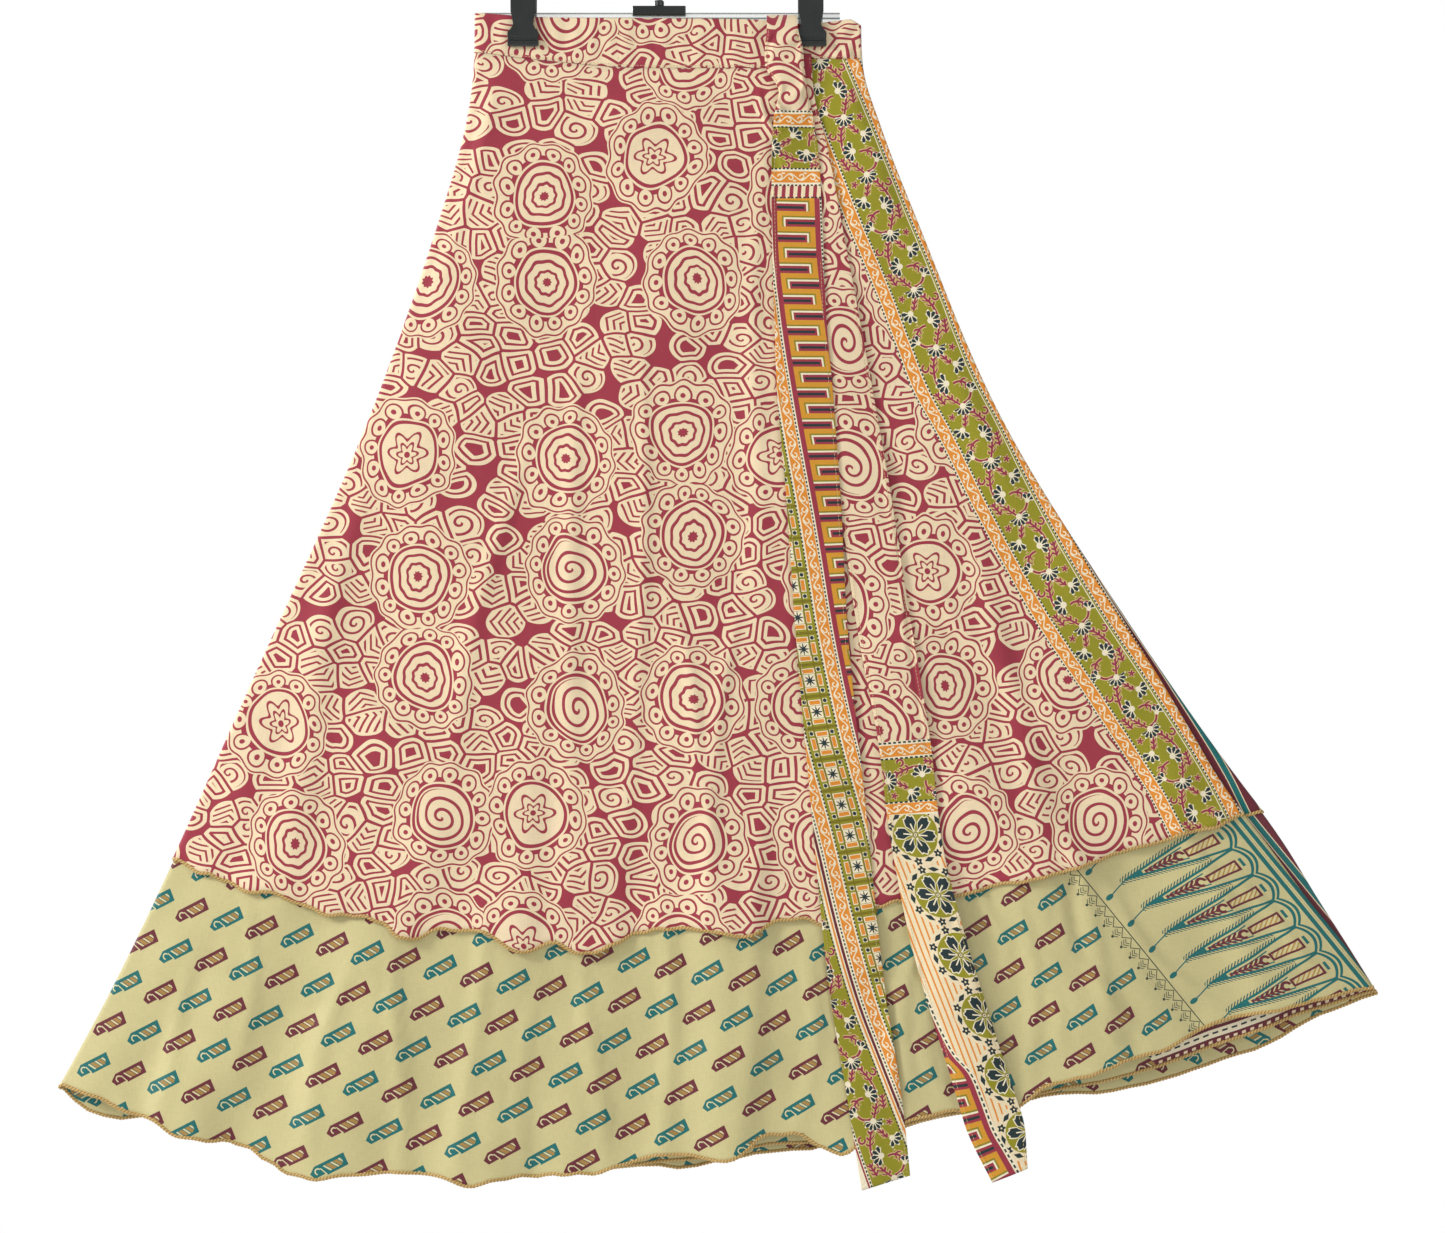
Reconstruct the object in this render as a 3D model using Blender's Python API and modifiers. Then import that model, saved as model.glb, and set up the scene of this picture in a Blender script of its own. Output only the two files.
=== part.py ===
"""Wrap skirt of two cloth layers, hung by its waistband from a clip hanger.

Metres, +Z up, +X to the viewer's right and -Y towards the viewer.
The origin is the inside top of the hanger's hook, where it hangs on a rail.

The skirt is one long double cloth. It starts at the free front edge on the right, crosses the
front, turns round the left fold, crosses the back, turns round the right fold, and ends as the
under lap behind the front. Drops are measured down from the middle of the waist seam, and a
place across the width runs from 0 at the left edge to 1 at the right edge.
"""

import math

import bpy
import numpy as np

# Cloth thicknesses and gaps
CLOTH_WALL = 0.0010
BAND_WALL = 0.0025
TIE_WALL = 0.0012
SEAM_GAP = 0.0003

# Heights under the hook
WAIST_SEAM_Z = -0.1116
BAND_TOP_Z = -0.0705

# Middle of each lap's wall in depth, from the front free lap to the back
OUTER_FRONT_Y = -0.0131
INNER_FRONT_Y = -0.0116
OUTER_UNDER_Y = -0.0098
INNER_UNDER_Y = -0.0083
INNER_BACK_Y = -0.0043
OUTER_BACK_Y = -0.0028

# Grid of the cloth walls
FRONT_COLUMNS = 48
BACK_COLUMNS = 14
UNDER_COLUMNS = 7
FOLD_COLUMNS = 6
OUTER_ROWS = 12
INNER_EXTRA_ROWS = 7
BAND_ROWS = 2
UNDER_LAP_END = 0.12
FREE_EDGE_INSET = 0.0010

# Hanger
BAR_LENGTH = 0.305
BAR_HEIGHT = 0.012
BAR_DEPTH = 0.004
BAR_TOP_Z = -0.065
BAR_FRONT_Y = -0.0020
HOOK_RADIUS = 0.025
HOOK_WIRE = 0.00175
CAP_LENGTH = 0.045
CAP_TOP_Z = -0.0595
CAP_BOTTOM_Z = -0.0676
COLLAR_RADIUS = 0.0042
COLLAR_HEIGHT = 0.0045
CLIP_CENTRES = {"left": -0.1138, "right": 0.1277}
PIN_RADIUS = 0.0012
PIN_Y = -0.0066


def table(columns, rows):
    """Named columns of a short table, each as an array."""
    return dict(zip(columns.split(), np.array(rows, float).T))


# Left and right edge of the whole skirt at each drop
SIDES = table(
    "drop left right",
    [
        (-0.050, -0.155, 0.170),
        (0.000, -0.156, 0.172),
        (0.050, -0.163, 0.187),
        (0.125, -0.184, 0.216),
        (0.300, -0.246, 0.291),
        (0.500, -0.335, 0.417),
        (0.770, -0.459, 0.599),
        (0.950, -0.558, 0.722),
    ],
)

# Waist seam and the waistband's top edge across the front, as drops
WAIST = table(
    "place seam top",
    [
        (0.00, -0.0130, -0.0455),
        (0.15, -0.0070, -0.0425),
        (0.45, 0.0000, -0.0430),
        (0.75, 0.0000, -0.0400),
        (0.88, -0.0080, -0.0385),
        (1.00, -0.0080, -0.0420),
    ],
)

# Hem of the shorter outer layer and of the longer inner layer, as drops across the front
HEMS = table(
    "place outer inner",
    [
        (0.00, 0.667, 0.856),
        (0.10, 0.695, 0.892),
        (0.20, 0.717, 0.921),
        (0.35, 0.729, 0.930),
        (0.50, 0.721, 0.900),
        (0.62, 0.706, 0.883),
        (0.75, 0.685, 0.845),
        (0.87, 0.658, 0.801),
        (1.00, 0.629, 0.774),
    ],
)

# How much lower than the front hem the back hem hangs
BACK_HEM = table(
    "place lower",
    [
        (0.00, 0.004),
        (0.03, 0.014),
        (0.10, -0.004),
        (0.66, -0.004),
        (0.78, 0.014),
        (0.87, 0.027),
        (0.95, 0.014),
        (1.00, 0.006),
    ],
)

# Flutes that run down both front layers: where, half width, depth, where they start, hem sag
FRONT_FLUTES = table(
    "place half depth start sag",
    [
        (0.02, 0.040, 0.005, 0.80, 0.000),
        (0.10, 0.050, 0.007, 0.60, 0.004),
        (0.20, 0.060, 0.009, 0.45, 0.011),
        (0.31, 0.045, 0.007, 0.60, 0.008),
        (0.38, 0.035, 0.005, 0.75, 0.003),
        (0.48, 0.032, 0.008, 0.60, 0.014),
        (0.56, 0.035, 0.005, 0.70, 0.020),
        (0.675, 0.036, 0.006, 0.60, 0.013),
        (0.76, 0.050, 0.010, 0.45, 0.000),
        (0.812, 0.036, 0.007, 0.60, 0.014),
        (0.92, 0.040, 0.005, 0.70, 0.005),
        (0.26, 0.090, 0.004, 0.08, 0.000),
        (0.49, 0.070, 0.003, 0.04, 0.000),
        (0.72, 0.080, 0.004, 0.08, 0.000),
    ],
)

# Smaller waves of the outer layer's own hem, on top of those flutes
OUTER_WAVES = table(
    "place half depth start sag",
    [
        (0.03, 0.030, 0.002, 0.80, 0.004),
        (0.075, 0.030, 0.003, 0.80, 0.005),
        (0.15, 0.035, 0.003, 0.75, 0.006),
        (0.225, 0.032, 0.003, 0.75, 0.013),
        (0.32, 0.040, 0.004, 0.65, 0.015),
        (0.375, 0.042, 0.005, 0.65, 0.017),
        (0.505, 0.040, 0.003, 0.80, 0.010),
        (0.59, 0.035, 0.003, 0.80, 0.019),
        (0.69, 0.045, 0.003, 0.80, 0.002),
        (0.80, 0.045, 0.003, 0.75, 0.005),
        (0.89, 0.040, 0.003, 0.80, 0.006),
        (0.96, 0.035, 0.002, 0.80, 0.006),
    ],
)

BACK_FLUTES = table(
    "place half depth start sag",
    [
        (0.12, 0.12, 0.006, 0.40, 0.000),
        (0.34, 0.12, 0.009, 0.20, 0.003),
        (0.58, 0.13, 0.010, 0.25, 0.003),
        (0.82, 0.12, 0.008, 0.35, 0.000),
    ],
)

# The two ties: centre and width at each drop, and how far the middle stands out of the skirt
LONG_TIE = table(
    "drop centre width proud",
    [
        (-0.032, 0.1035, 0.026, 0.0063),
        (-0.025, 0.1040, 0.028, 0.0063),
        (-0.014, 0.1050, 0.032, 0.0061),
        (0.000, 0.1055, 0.033, 0.0052),
        (0.022, 0.1125, 0.024, 0.0032),
        (0.040, 0.1130, 0.032, 0.0026),
        (0.080, 0.1145, 0.040, 0.0024),
        (0.218, 0.1195, 0.043, 0.0024),
        (0.360, 0.1300, 0.045, 0.0024),
        (0.480, 0.1370, 0.044, 0.0020),
        (0.610, 0.1495, 0.046, 0.0005),
        (0.780, 0.1670, 0.047, 0.0005),
        (0.860, 0.1800, 0.046, 0.0005),
        (0.937, 0.1905, 0.041, 0.0005),
    ],
)
SHORT_TIE = table(
    "drop centre width proud",
    [
        (-0.010, 0.1150, 0.026, 0.0005),
        (0.025, 0.1165, 0.028, 0.0005),
        (0.065, 0.1225, 0.036, 0.0005),
        (0.118, 0.1300, 0.042, 0.0005),
        (0.218, 0.1480, 0.043, 0.0005),
        (0.340, 0.1690, 0.045, 0.0005),
        (0.480, 0.1905, 0.046, 0.0005),
        (0.566, 0.2055, 0.044, 0.0005),
        (0.655, 0.2165, 0.043, 0.0005),
        (0.735, 0.2345, 0.047, 0.0005),
        (0.807, 0.2560, 0.049, 0.0005),
        (0.880, 0.2790, 0.049, 0.0005),
        (0.930, 0.2940, 0.030, 0.0005),
    ],
)
TIE_ROWS = 38
TIE_COLUMNS = 3
TIE_FLAP_Y = -0.0075
TIE_END_SLANT = 0.006

# One clip's front and back lever, as rectangular sections from the finger end to the jaw
FRONT_LEVER = table(
    "z half_width front back",
    [
        (-0.0390, 0.0095, -0.0233, -0.0213),
        (-0.0470, 0.0105, -0.0210, -0.0185),
        (-0.0560, 0.0105, -0.0191, -0.0161),
        (-0.0665, 0.0105, -0.0183, -0.0155),
        (-0.0730, 0.0090, -0.0181, -0.0153),
        (-0.0770, 0.0084, -0.0181, -0.0149),
        (-0.0805, 0.0100, -0.0183, -0.0141),
        (-0.0840, 0.0130, -0.0189, -0.0139),
        (-0.0875, 0.0130, -0.0189, -0.0139),
        (-0.0885, 0.0128, -0.0179, -0.0139),
        (-0.0905, 0.0128, -0.0179, -0.0139),
        (-0.0915, 0.0130, -0.0187, -0.0139),
        (-0.0945, 0.0130, -0.0183, -0.0139),
        (-0.0957, 0.0126, -0.0171, -0.0139),
    ],
)
BACK_LEVER = table(
    "z half_width front back",
    [
        (-0.0390, 0.0095, 0.0097, 0.0117),
        (-0.0470, 0.0105, 0.0067, 0.0092),
        (-0.0560, 0.0105, 0.0033, 0.0065),
        (-0.0665, 0.0105, 0.0023, 0.0057),
        (-0.0773, 0.0100, 0.0023, 0.0057),
        (-0.0795, 0.0110, -0.0020, 0.0052),
        (-0.0870, 0.0130, -0.0020, 0.0032),
        (-0.0957, 0.0126, -0.0020, 0.0012),
    ],
)
FULCRUM_HALF_WIDTH = 0.0075
FULCRUM_HEIGHT = 0.010
FULCRUM_FRONT_Y = -0.0152
FULCRUM_BACK_Y = 0.0020


def through(x, xs, ys):
    """A smooth curve through the points of a table that never overshoots them."""
    step, rise = np.diff(xs), np.diff(ys)
    slope = rise / step
    tangent = np.concatenate([slope[:1], (slope[:-1] + slope[1:]) / 2, slope[-1:]])
    flat = slope[:-1] * slope[1:] <= 0
    tangent[1:-1][flat] = 0
    limit = 3 * np.minimum(np.abs(np.append(slope, slope[-1])), np.abs(np.append(slope[0], slope)))
    tangent = np.clip(tangent, -limit, limit)
    x = np.clip(x, xs[0], xs[-1])
    i = np.clip(np.searchsorted(xs, x) - 1, 0, len(step) - 1)
    t = (x - xs[i]) / step[i]
    start, end = ys[i], ys[i + 1]
    lift = t * (1 - t)
    return (
        start
        + (end - start) * t * t * (3 - 2 * t)
        + lift * ((1 - t) * tangent[i] - t * tangent[i + 1]) * step[i]
    )


def smoothstep(low, high, x):
    t = np.clip((x - low) / (high - low), 0, 1)
    return t * t * (3 - 2 * t)


def bump(distance, half):
    """A round hill of height 1 that ends at half on each side."""
    t = np.clip(np.abs(distance) / half, 0, 1)
    return np.cos(t * math.pi / 2) ** 2


def flutes(rows, place, share):
    """Depth of all the flutes of a table at a place, and at a share of the way down to the hem."""
    total = np.zeros(np.broadcast(place, share).shape)
    for at, half, depth, start in zip(rows["place"], rows["half"], rows["depth"], rows["start"]):
        total += depth * bump(place - at, half) * smoothstep(start, 1.0, share)
    return total


def hem_sag(rows, place):
    sags = zip(rows["place"], rows["half"], rows["sag"])
    return sum(sag * bump(place - at, half) for at, half, sag in sags)


def lap_columns():
    """Columns along the wrap: the place across, and how far each has turned round either fold."""
    front = np.linspace(1, 0, FRONT_COLUMNS + 1)
    back = np.linspace(0, 1, BACK_COLUMNS + 1)
    under = np.linspace(1, UNDER_LAP_END, UNDER_COLUMNS + 1)
    turn = np.linspace(0, math.pi, FOLD_COLUMNS + 1)[1:-1]
    none, half_turn = np.zeros_like, lambda a: np.full_like(a, math.pi)
    place = np.concatenate([front, none(turn), back, none(turn) + 1, under])
    left = np.concatenate([none(front), turn, half_turn(back), half_turn(turn), half_turn(under)])
    right = np.concatenate([none(front), none(turn), none(back), turn, half_turn(under)])
    return place, left, right


def hem_drops(place, to_back, to_under):
    """Outer and inner hem at each column: the front's, the back's, and the under lap's between."""
    lower = through(place, BACK_HEM["place"], BACK_HEM["lower"])
    behind = to_back * (1 - 0.45 * to_under)
    front_only = 1 - to_back
    flute_sag = hem_sag(FRONT_FLUTES, place) * front_only
    wave_sag = hem_sag(OUTER_WAVES, place) * front_only
    outer = through(place, HEMS["place"], HEMS["outer"]) + wave_sag
    inner = through(place, HEMS["place"], HEMS["inner"]) + flute_sag
    return outer - 0.002 * to_back, inner + lower * behind


def edges_at(drop, outer_radius_left, outer_radius_right):
    """Centre lines of the left and right folds, and the front lap's free edge, at a drop."""
    left = through(drop, SIDES["drop"], SIDES["left"])
    right = through(drop, SIDES["drop"], SIDES["right"])
    tuck = 0.011 * bump(drop - 0.615, 0.12)
    fold_left = left + outer_radius_left + CLOTH_WALL / 2
    fold_right = right - outer_radius_right - CLOTH_WALL / 2
    return fold_left, fold_right, right - FREE_EDGE_INSET - tuck


LEFT_RADIUS = (OUTER_BACK_Y - OUTER_FRONT_Y) / 2
RIGHT_RADIUS = (OUTER_BACK_Y - OUTER_UNDER_Y) / 2


def wrap_points(drop, share, front_y, back_y, under_y, waves):
    """Middle of a wrapped wall, from drops of shape (rows, columns)."""
    place, left_turn, right_turn = lap_columns()
    to_back = (1 - np.cos(left_turn)) / 2
    to_under = (1 - np.cos(right_turn)) / 2
    fold_left, fold_right, free_edge = edges_at(drop, LEFT_RADIUS, RIGHT_RADIUS)
    far_side = free_edge + (fold_right - free_edge) * to_back
    x = fold_left + (far_side - fold_left) * place
    x = x - (back_y - front_y) / 2 * np.sin(left_turn)
    x = x + (back_y - under_y) / 2 * np.sin(right_turn)
    front = front_y - flutes(FRONT_FLUTES, place, share)
    if waves:
        front = front - flutes(OUTER_WAVES, place, share / through_outer_share(place))
    back = back_y + flutes(BACK_FLUTES, place, share)
    y = front + (back - front) * to_back
    y = y + (under_y - y) * to_under
    return np.stack([x, y, WAIST_SEAM_Z - drop], axis=-1)


def through_outer_share(place):
    """The outer hem's drop as a share of the inner hem's."""
    outer = through(place, HEMS["place"], HEMS["outer"])
    return outer / through(place, HEMS["place"], HEMS["inner"])


def layer_drops(rows_down):
    """Drops of a layer's rows: 0 to 1 from the seam to the outer hem, 1 to 2 on to the inner hem."""
    place, left_turn, right_turn = lap_columns()
    to_back = (1 - np.cos(left_turn)) / 2
    to_under = (1 - np.cos(right_turn)) / 2
    outer, inner = hem_drops(place, to_back, to_under)
    seam = through(place, WAIST["place"], WAIST["seam"])
    v = rows_down[:, None]
    upper = seam + (outer - seam) * np.clip(v, 0, 1)
    drop = upper + (inner - outer) * np.clip(v - 1, 0, 1)
    return drop, np.clip((drop - seam) / (inner - seam), 0, 1)


def material(name, colour, roughness, metallic=0.0, alpha=1.0):
    made = bpy.data.materials.get(name)
    if made is None:
        made = bpy.data.materials.new(name)
        made.use_nodes = True
        shader = made.node_tree.nodes["Principled BSDF"]
        shader.inputs["Base Color"].default_value = (*colour, 1)
        shader.inputs["Roughness"].default_value = roughness
        shader.inputs["Metallic"].default_value = metallic
        shader.inputs["Alpha"].default_value = alpha
    return made


def add_object(name, mesh, finish):
    made = bpy.data.objects.new(name, mesh)
    made.data.materials.append(finish)
    bpy.data.collections["wrap_skirt"].objects.link(made)
    return made


def cloth_wall(name, points, thickness, finish):
    """A wall round a grid of points of shape (rows, columns, 3), split into triangles one way."""
    rows, columns = points.shape[:2]
    corner = np.arange(rows * columns).reshape(rows, columns)
    a, b = corner[:-1, :-1].ravel(), corner[:-1, 1:].ravel()
    c, d = corner[1:, 1:].ravel(), corner[1:, :-1].ravel()
    faces = np.concatenate([np.stack([a, d, c], 1), np.stack([a, c, b], 1)])
    mesh = bpy.data.meshes.new(name)
    mesh.from_pydata(points.reshape(-1, 3).tolist(), [], faces.tolist())
    mesh.shade_smooth()
    made = add_object(name, mesh, finish)
    wall = made.modifiers.new("wall", "SOLIDIFY")
    wall.thickness = thickness
    wall.offset = 0
    wall.use_even_offset = True
    return made


def make_layers():
    outer_rows = np.linspace(0, 1, OUTER_ROWS + 1)
    inner_rows = np.concatenate([outer_rows, np.linspace(1, 2, INNER_EXTRA_ROWS + 1)[1:]])
    outer_drop, outer_share = layer_drops(outer_rows)
    inner_drop, inner_share = layer_drops(inner_rows)
    outer = wrap_points(outer_drop, outer_share, OUTER_FRONT_Y, OUTER_BACK_Y, OUTER_UNDER_Y, True)
    inner = wrap_points(inner_drop, inner_share, INNER_FRONT_Y, INNER_BACK_Y, INNER_UNDER_Y, False)
    cloth_wall("outer_layer", outer, CLOTH_WALL, material("maroon_print", (0.50, 0.22, 0.16), 0.75))
    cloth_wall("inner_layer", inner, CLOTH_WALL, material("olive_sateen", (0.56, 0.49, 0.26), 0.5))
    return outer, inner


def make_waistband():
    """Doubled strip that holds the top edges of both layers, wrapped the same way."""
    place = lap_columns()[0]
    seam = through(place, WAIST["place"], WAIST["seam"]) - SEAM_GAP
    top = through(place, WAIST["place"], WAIST["top"])
    down = np.linspace(0, 1, BAND_ROWS + 1)[:, None]
    drop = top + (seam - top) * down
    middle_front = (OUTER_FRONT_Y + INNER_FRONT_Y) / 2
    middle_back = (OUTER_BACK_Y + INNER_BACK_Y) / 2
    middle_under = (OUTER_UNDER_Y + INNER_UNDER_Y) / 2
    points = wrap_points(drop, drop * 0, middle_front, middle_back, middle_under, False)
    cloth_wall("waistband", points, BAND_WALL, material("maroon_print", (0.50, 0.22, 0.16), 0.75))


def front_face(x, drop, outer, inner):
    """Depth of the skirt's front face at points of the front, read off its facets."""
    fold_left, _, free_edge = edges_at(drop, LEFT_RADIUS, RIGHT_RADIUS)
    place = np.clip((x - fold_left) / (free_edge - fold_left), 0, 1)
    seam = through(place, WAIST["place"], WAIST["seam"])
    outer_hem, inner_hem = hem_drops(place, 0 * place, 0 * place)
    upper = np.clip((drop - seam) / (outer_hem - seam), 0, 1) * OUTER_ROWS
    extra = np.clip((drop - outer_hem) / (inner_hem - outer_hem), 0, 1) * INNER_EXTRA_ROWS
    column = (1 - place) * FRONT_COLUMNS

    def facet(points, row):
        r = np.clip(np.floor(row).astype(int), 0, len(points) - 2)
        c = np.clip(np.floor(column).astype(int), 0, FRONT_COLUMNS - 1)
        s, t = row - r, column - c
        y = points[..., 1]
        near = y[r, c] * (1 - t) + y[r, c + 1] * t
        far = y[r + 1, c] * (1 - t) + y[r + 1, c + 1] * t
        return near * (1 - s) + far * s

    on_outer, on_inner = facet(outer, upper), facet(inner, upper + extra)
    below = smoothstep(0.012, 0.060, drop - outer_hem)
    return on_outer + (on_inner - on_outer) * below - CLOTH_WALL / 2


def tie_points(rows, outer, inner, flap):
    """Middle of a tie that lies on the skirt's front: the skirt's own points, moved out."""
    drops = np.linspace(rows["drop"][0], rows["drop"][-1], TIE_ROWS + 1)
    centre, width, proud = (through(drops, rows["drop"], rows[k]) for k in ("centre", "width", "proud"))
    across = np.linspace(-0.5, 0.5, TIE_COLUMNS + 1)
    x = centre[:, None] + width[:, None] * across
    slant = TIE_END_SLANT * smoothstep(0.9, 1.0, np.linspace(0, 1, TIE_ROWS + 1))
    drop = drops[:, None] - slant[:, None] * across * 2
    reach = (-0.012, 0.0, 0.012)
    nearby = [front_face(x + dx, drop + dz, outer, inner) for dx in reach for dz in reach]
    y = np.min(nearby, axis=0) - proud[:, None] - TIE_WALL / 2
    points = np.stack([x, y, WAIST_SEAM_Z - drop], axis=-1)
    if flap:
        over = points[:1].repeat(2, axis=0)
        over[..., 2] = BAND_TOP_Z + SEAM_GAP + TIE_WALL
        over[0, :, 1] = TIE_FLAP_Y
        over[1, :, 1] = OUTER_FRONT_Y
        points = np.concatenate([over, points])
    return points


def make_ties(outer, inner):
    """Both ties are doubled strips. The long one folds over the waistband's top edge."""
    long_tie = tie_points(LONG_TIE, outer, inner, True)
    short_tie = tie_points(SHORT_TIE, outer, inner, False)
    cloth_wall("tie_long", long_tie, TIE_WALL, material("border_print", (0.45, 0.33, 0.10), 0.7))
    cloth_wall("tie_short", short_tie, TIE_WALL, material("border_print", (0.45, 0.33, 0.10), 0.7))


def box(name, low, high, finish, bevel=0.0):
    """A box between two corners, as a primitive with rounded edges."""
    low, high = np.array(low), np.array(high)
    bpy.ops.mesh.primitive_cube_add(size=1, location=(low + high) / 2)
    made = bpy.context.active_object
    made.name = name
    made.scale = high - low
    bpy.ops.object.transform_apply(location=False, rotation=False, scale=True)
    made.data.materials.append(finish)
    if bevel:
        rounded = made.modifiers.new("rounded", "BEVEL")
        rounded.width = bevel
        rounded.segments = 2
    return made


def to_collection(made, collection):
    for held in list(made.users_collection):
        held.objects.unlink(made)
    bpy.data.collections[collection].objects.link(made)


def lever(name, rows, centre, finish):
    """A clip's lever: rectangular sections carried from the finger end down to the jaw."""
    corners = ((-1, "front"), (1, "front"), (1, "back"), (-1, "back"))
    points = [
        (centre + side * rows["half_width"][i], rows[face][i], rows["z"][i])
        for i in range(len(rows["z"]))
        for side, face in corners
    ]
    rings = len(rows["z"])
    faces = [
        (4 * i + k, 4 * i + 4 + k, 4 * i + 4 + (k + 1) % 4, 4 * i + (k + 1) % 4)
        for i in range(rings - 1)
        for k in range(4)
    ]
    last = 4 * (rings - 1)
    faces += [(0, 1, 2, 3), (last + 3, last + 2, last + 1, last)]
    mesh = bpy.data.meshes.new(name)
    mesh.from_pydata(points, [], faces)
    made = add_object(name, mesh, finish)
    rounded = made.modifiers.new("rounded", "BEVEL")
    rounded.width = 0.0005
    rounded.segments = 1
    rounded.angle_limit = math.radians(50)
    return made


def make_clips():
    black = material("black_plastic", (0.02, 0.022, 0.02), 0.4)
    steel = material("steel", (0.75, 0.75, 0.74), 0.25, metallic=1.0)
    block_bottom = BAR_TOP_Z + SEAM_GAP
    for side, centre in CLIP_CENTRES.items():
        lever(f"clip_{side}_front", FRONT_LEVER, centre, black)
        lever(f"clip_{side}_back", BACK_LEVER, centre, black)
        low = (centre - FULCRUM_HALF_WIDTH, FULCRUM_FRONT_Y, block_bottom)
        high = (centre + FULCRUM_HALF_WIDTH, FULCRUM_BACK_Y, block_bottom + FULCRUM_HEIGHT)
        block = box(f"clip_{side}_block", low, high, black, bevel=0.0006)
        to_collection(block, "wrap_skirt")
        bpy.ops.mesh.primitive_cylinder_add(
            vertices=16,
            radius=PIN_RADIUS,
            depth=2 * FULCRUM_HALF_WIDTH,
            location=(centre, PIN_Y, block_bottom + FULCRUM_HEIGHT + SEAM_GAP + PIN_RADIUS),
            rotation=(0, math.pi / 2, 0),
        )
        pin = bpy.context.active_object
        pin.name = f"clip_{side}_pin"
        pin.data.materials.append(steel)
        to_collection(pin, "wrap_skirt")


def make_bar_and_cap():
    clear = material("clear_acrylic", (0.85, 0.90, 0.88), 0.08, alpha=0.35)
    black = material("black_plastic", (0.02, 0.022, 0.02), 0.4)
    low = (-BAR_LENGTH / 2, BAR_FRONT_Y, BAR_TOP_Z - BAR_HEIGHT)
    high = (BAR_LENGTH / 2, BAR_FRONT_Y + BAR_DEPTH, BAR_TOP_Z)
    bar = box("hanger_bar", low, high, clear, bevel=0.0006)
    to_collection(bar, "wrap_skirt")
    middle_y = BAR_FRONT_Y + BAR_DEPTH / 2
    half_depth = BAR_DEPTH / 2 + 0.0025
    cap = box(
        "hanger_cap",
        (-CAP_LENGTH / 2, middle_y - half_depth, CAP_BOTTOM_Z),
        (CAP_LENGTH / 2, middle_y + half_depth, CAP_TOP_Z),
        black,
        bevel=0.0008,
    )
    to_collection(cap, "wrap_skirt")
    gap = SEAM_GAP
    slot = box(
        "cap_slot",
        (-CAP_LENGTH, BAR_FRONT_Y - gap, BAR_TOP_Z - BAR_HEIGHT),
        (CAP_LENGTH, BAR_FRONT_Y + BAR_DEPTH + gap, BAR_TOP_Z + gap),
        black,
    )
    slot.hide_render = True
    slot.display_type = "WIRE"
    to_collection(slot, "cutters")
    cut = cap.modifiers.new("slot", "BOOLEAN")
    cut.object = slot
    cut.operation = "DIFFERENCE"
    return middle_y


def make_collar(middle_y):
    """Turned collar on the cap that the hook's stem stands in."""
    bottom = CAP_TOP_Z + SEAM_GAP
    bore = HOOK_WIRE + SEAM_GAP
    profile = [
        (bore, bottom + COLLAR_HEIGHT),
        (COLLAR_RADIUS * 0.85, bottom + COLLAR_HEIGHT),
        (COLLAR_RADIUS, bottom + COLLAR_HEIGHT * 0.8),
        (COLLAR_RADIUS, bottom),
        (bore, bottom),
    ]
    mesh = bpy.data.meshes.new("hanger_collar")
    ring = [(i, (i + 1) % len(profile)) for i in range(len(profile))]
    mesh.from_pydata([(r, 0, z) for r, z in profile], ring, [])
    made = add_object("hanger_collar", mesh, material("black_plastic", (0.02, 0.022, 0.02), 0.4))
    made.location = (0, middle_y, 0)
    turned = made.modifiers.new("turned", "SCREW")
    turned.steps = turned.render_steps = 24
    turned.use_merge_vertices = True
    turned.merge_threshold = 0.00001


def hook_path():
    """Centre line of the hook: a stem that leans to the right, then most of a circle."""
    centre_z = HOOK_WIRE - HOOK_RADIUS
    stem = [(0.0, CAP_TOP_Z + 0.0008), (0.0, CAP_TOP_Z + 0.0055), (0.0065, -0.0508)]
    angles = np.radians(np.linspace(-42, 196, 26))
    arc = [(HOOK_RADIUS * math.cos(a), centre_z + HOOK_RADIUS * math.sin(a)) for a in angles]
    knots = np.array(stem + arc)
    along = np.concatenate([[0], np.cumsum(np.linalg.norm(np.diff(knots, axis=0), axis=1))])
    even = np.linspace(0, along[-1], 44)
    return np.stack([through(even, along, knots[:, 0]), through(even, along, knots[:, 1])], 1)


def make_hook(middle_y):
    path = hook_path()
    curve = bpy.data.curves.new("hanger_hook", "CURVE")
    curve.dimensions = "3D"
    curve.bevel_depth = HOOK_WIRE
    curve.bevel_resolution = 3
    curve.use_fill_caps = True
    line = curve.splines.new("POLY")
    line.points.add(len(path) - 1)
    for point, (x, z) in zip(line.points, path):
        point.co = (x, middle_y, z, 1)
    made = bpy.data.objects.new("hanger_hook", curve)
    curve.materials.append(material("steel", (0.75, 0.75, 0.74), 0.25, metallic=1.0))
    bpy.data.collections["wrap_skirt"].objects.link(made)


def main():
    for old in list(bpy.data.objects):
        bpy.data.objects.remove(old)
    for name in ("wrap_skirt", "cutters"):
        bpy.context.scene.collection.children.link(bpy.data.collections.new(name))
    outer, inner = make_layers()
    make_waistband()
    make_ties(outer, inner)
    middle_y = make_bar_and_cap()
    make_collar(middle_y)
    make_hook(middle_y)
    make_clips()


main()
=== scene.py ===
# %% [markdown]
# # A printed wrap skirt on a clip hanger
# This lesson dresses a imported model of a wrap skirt. The model gives the sizes: two layers of
# flared cloth, a waistband, two long ties and a hanger. Here each cloth piece is worked out again
# as a finer surface, with its creases and its overlocked edges, and its print is drawn by nodes.

import math

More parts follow.
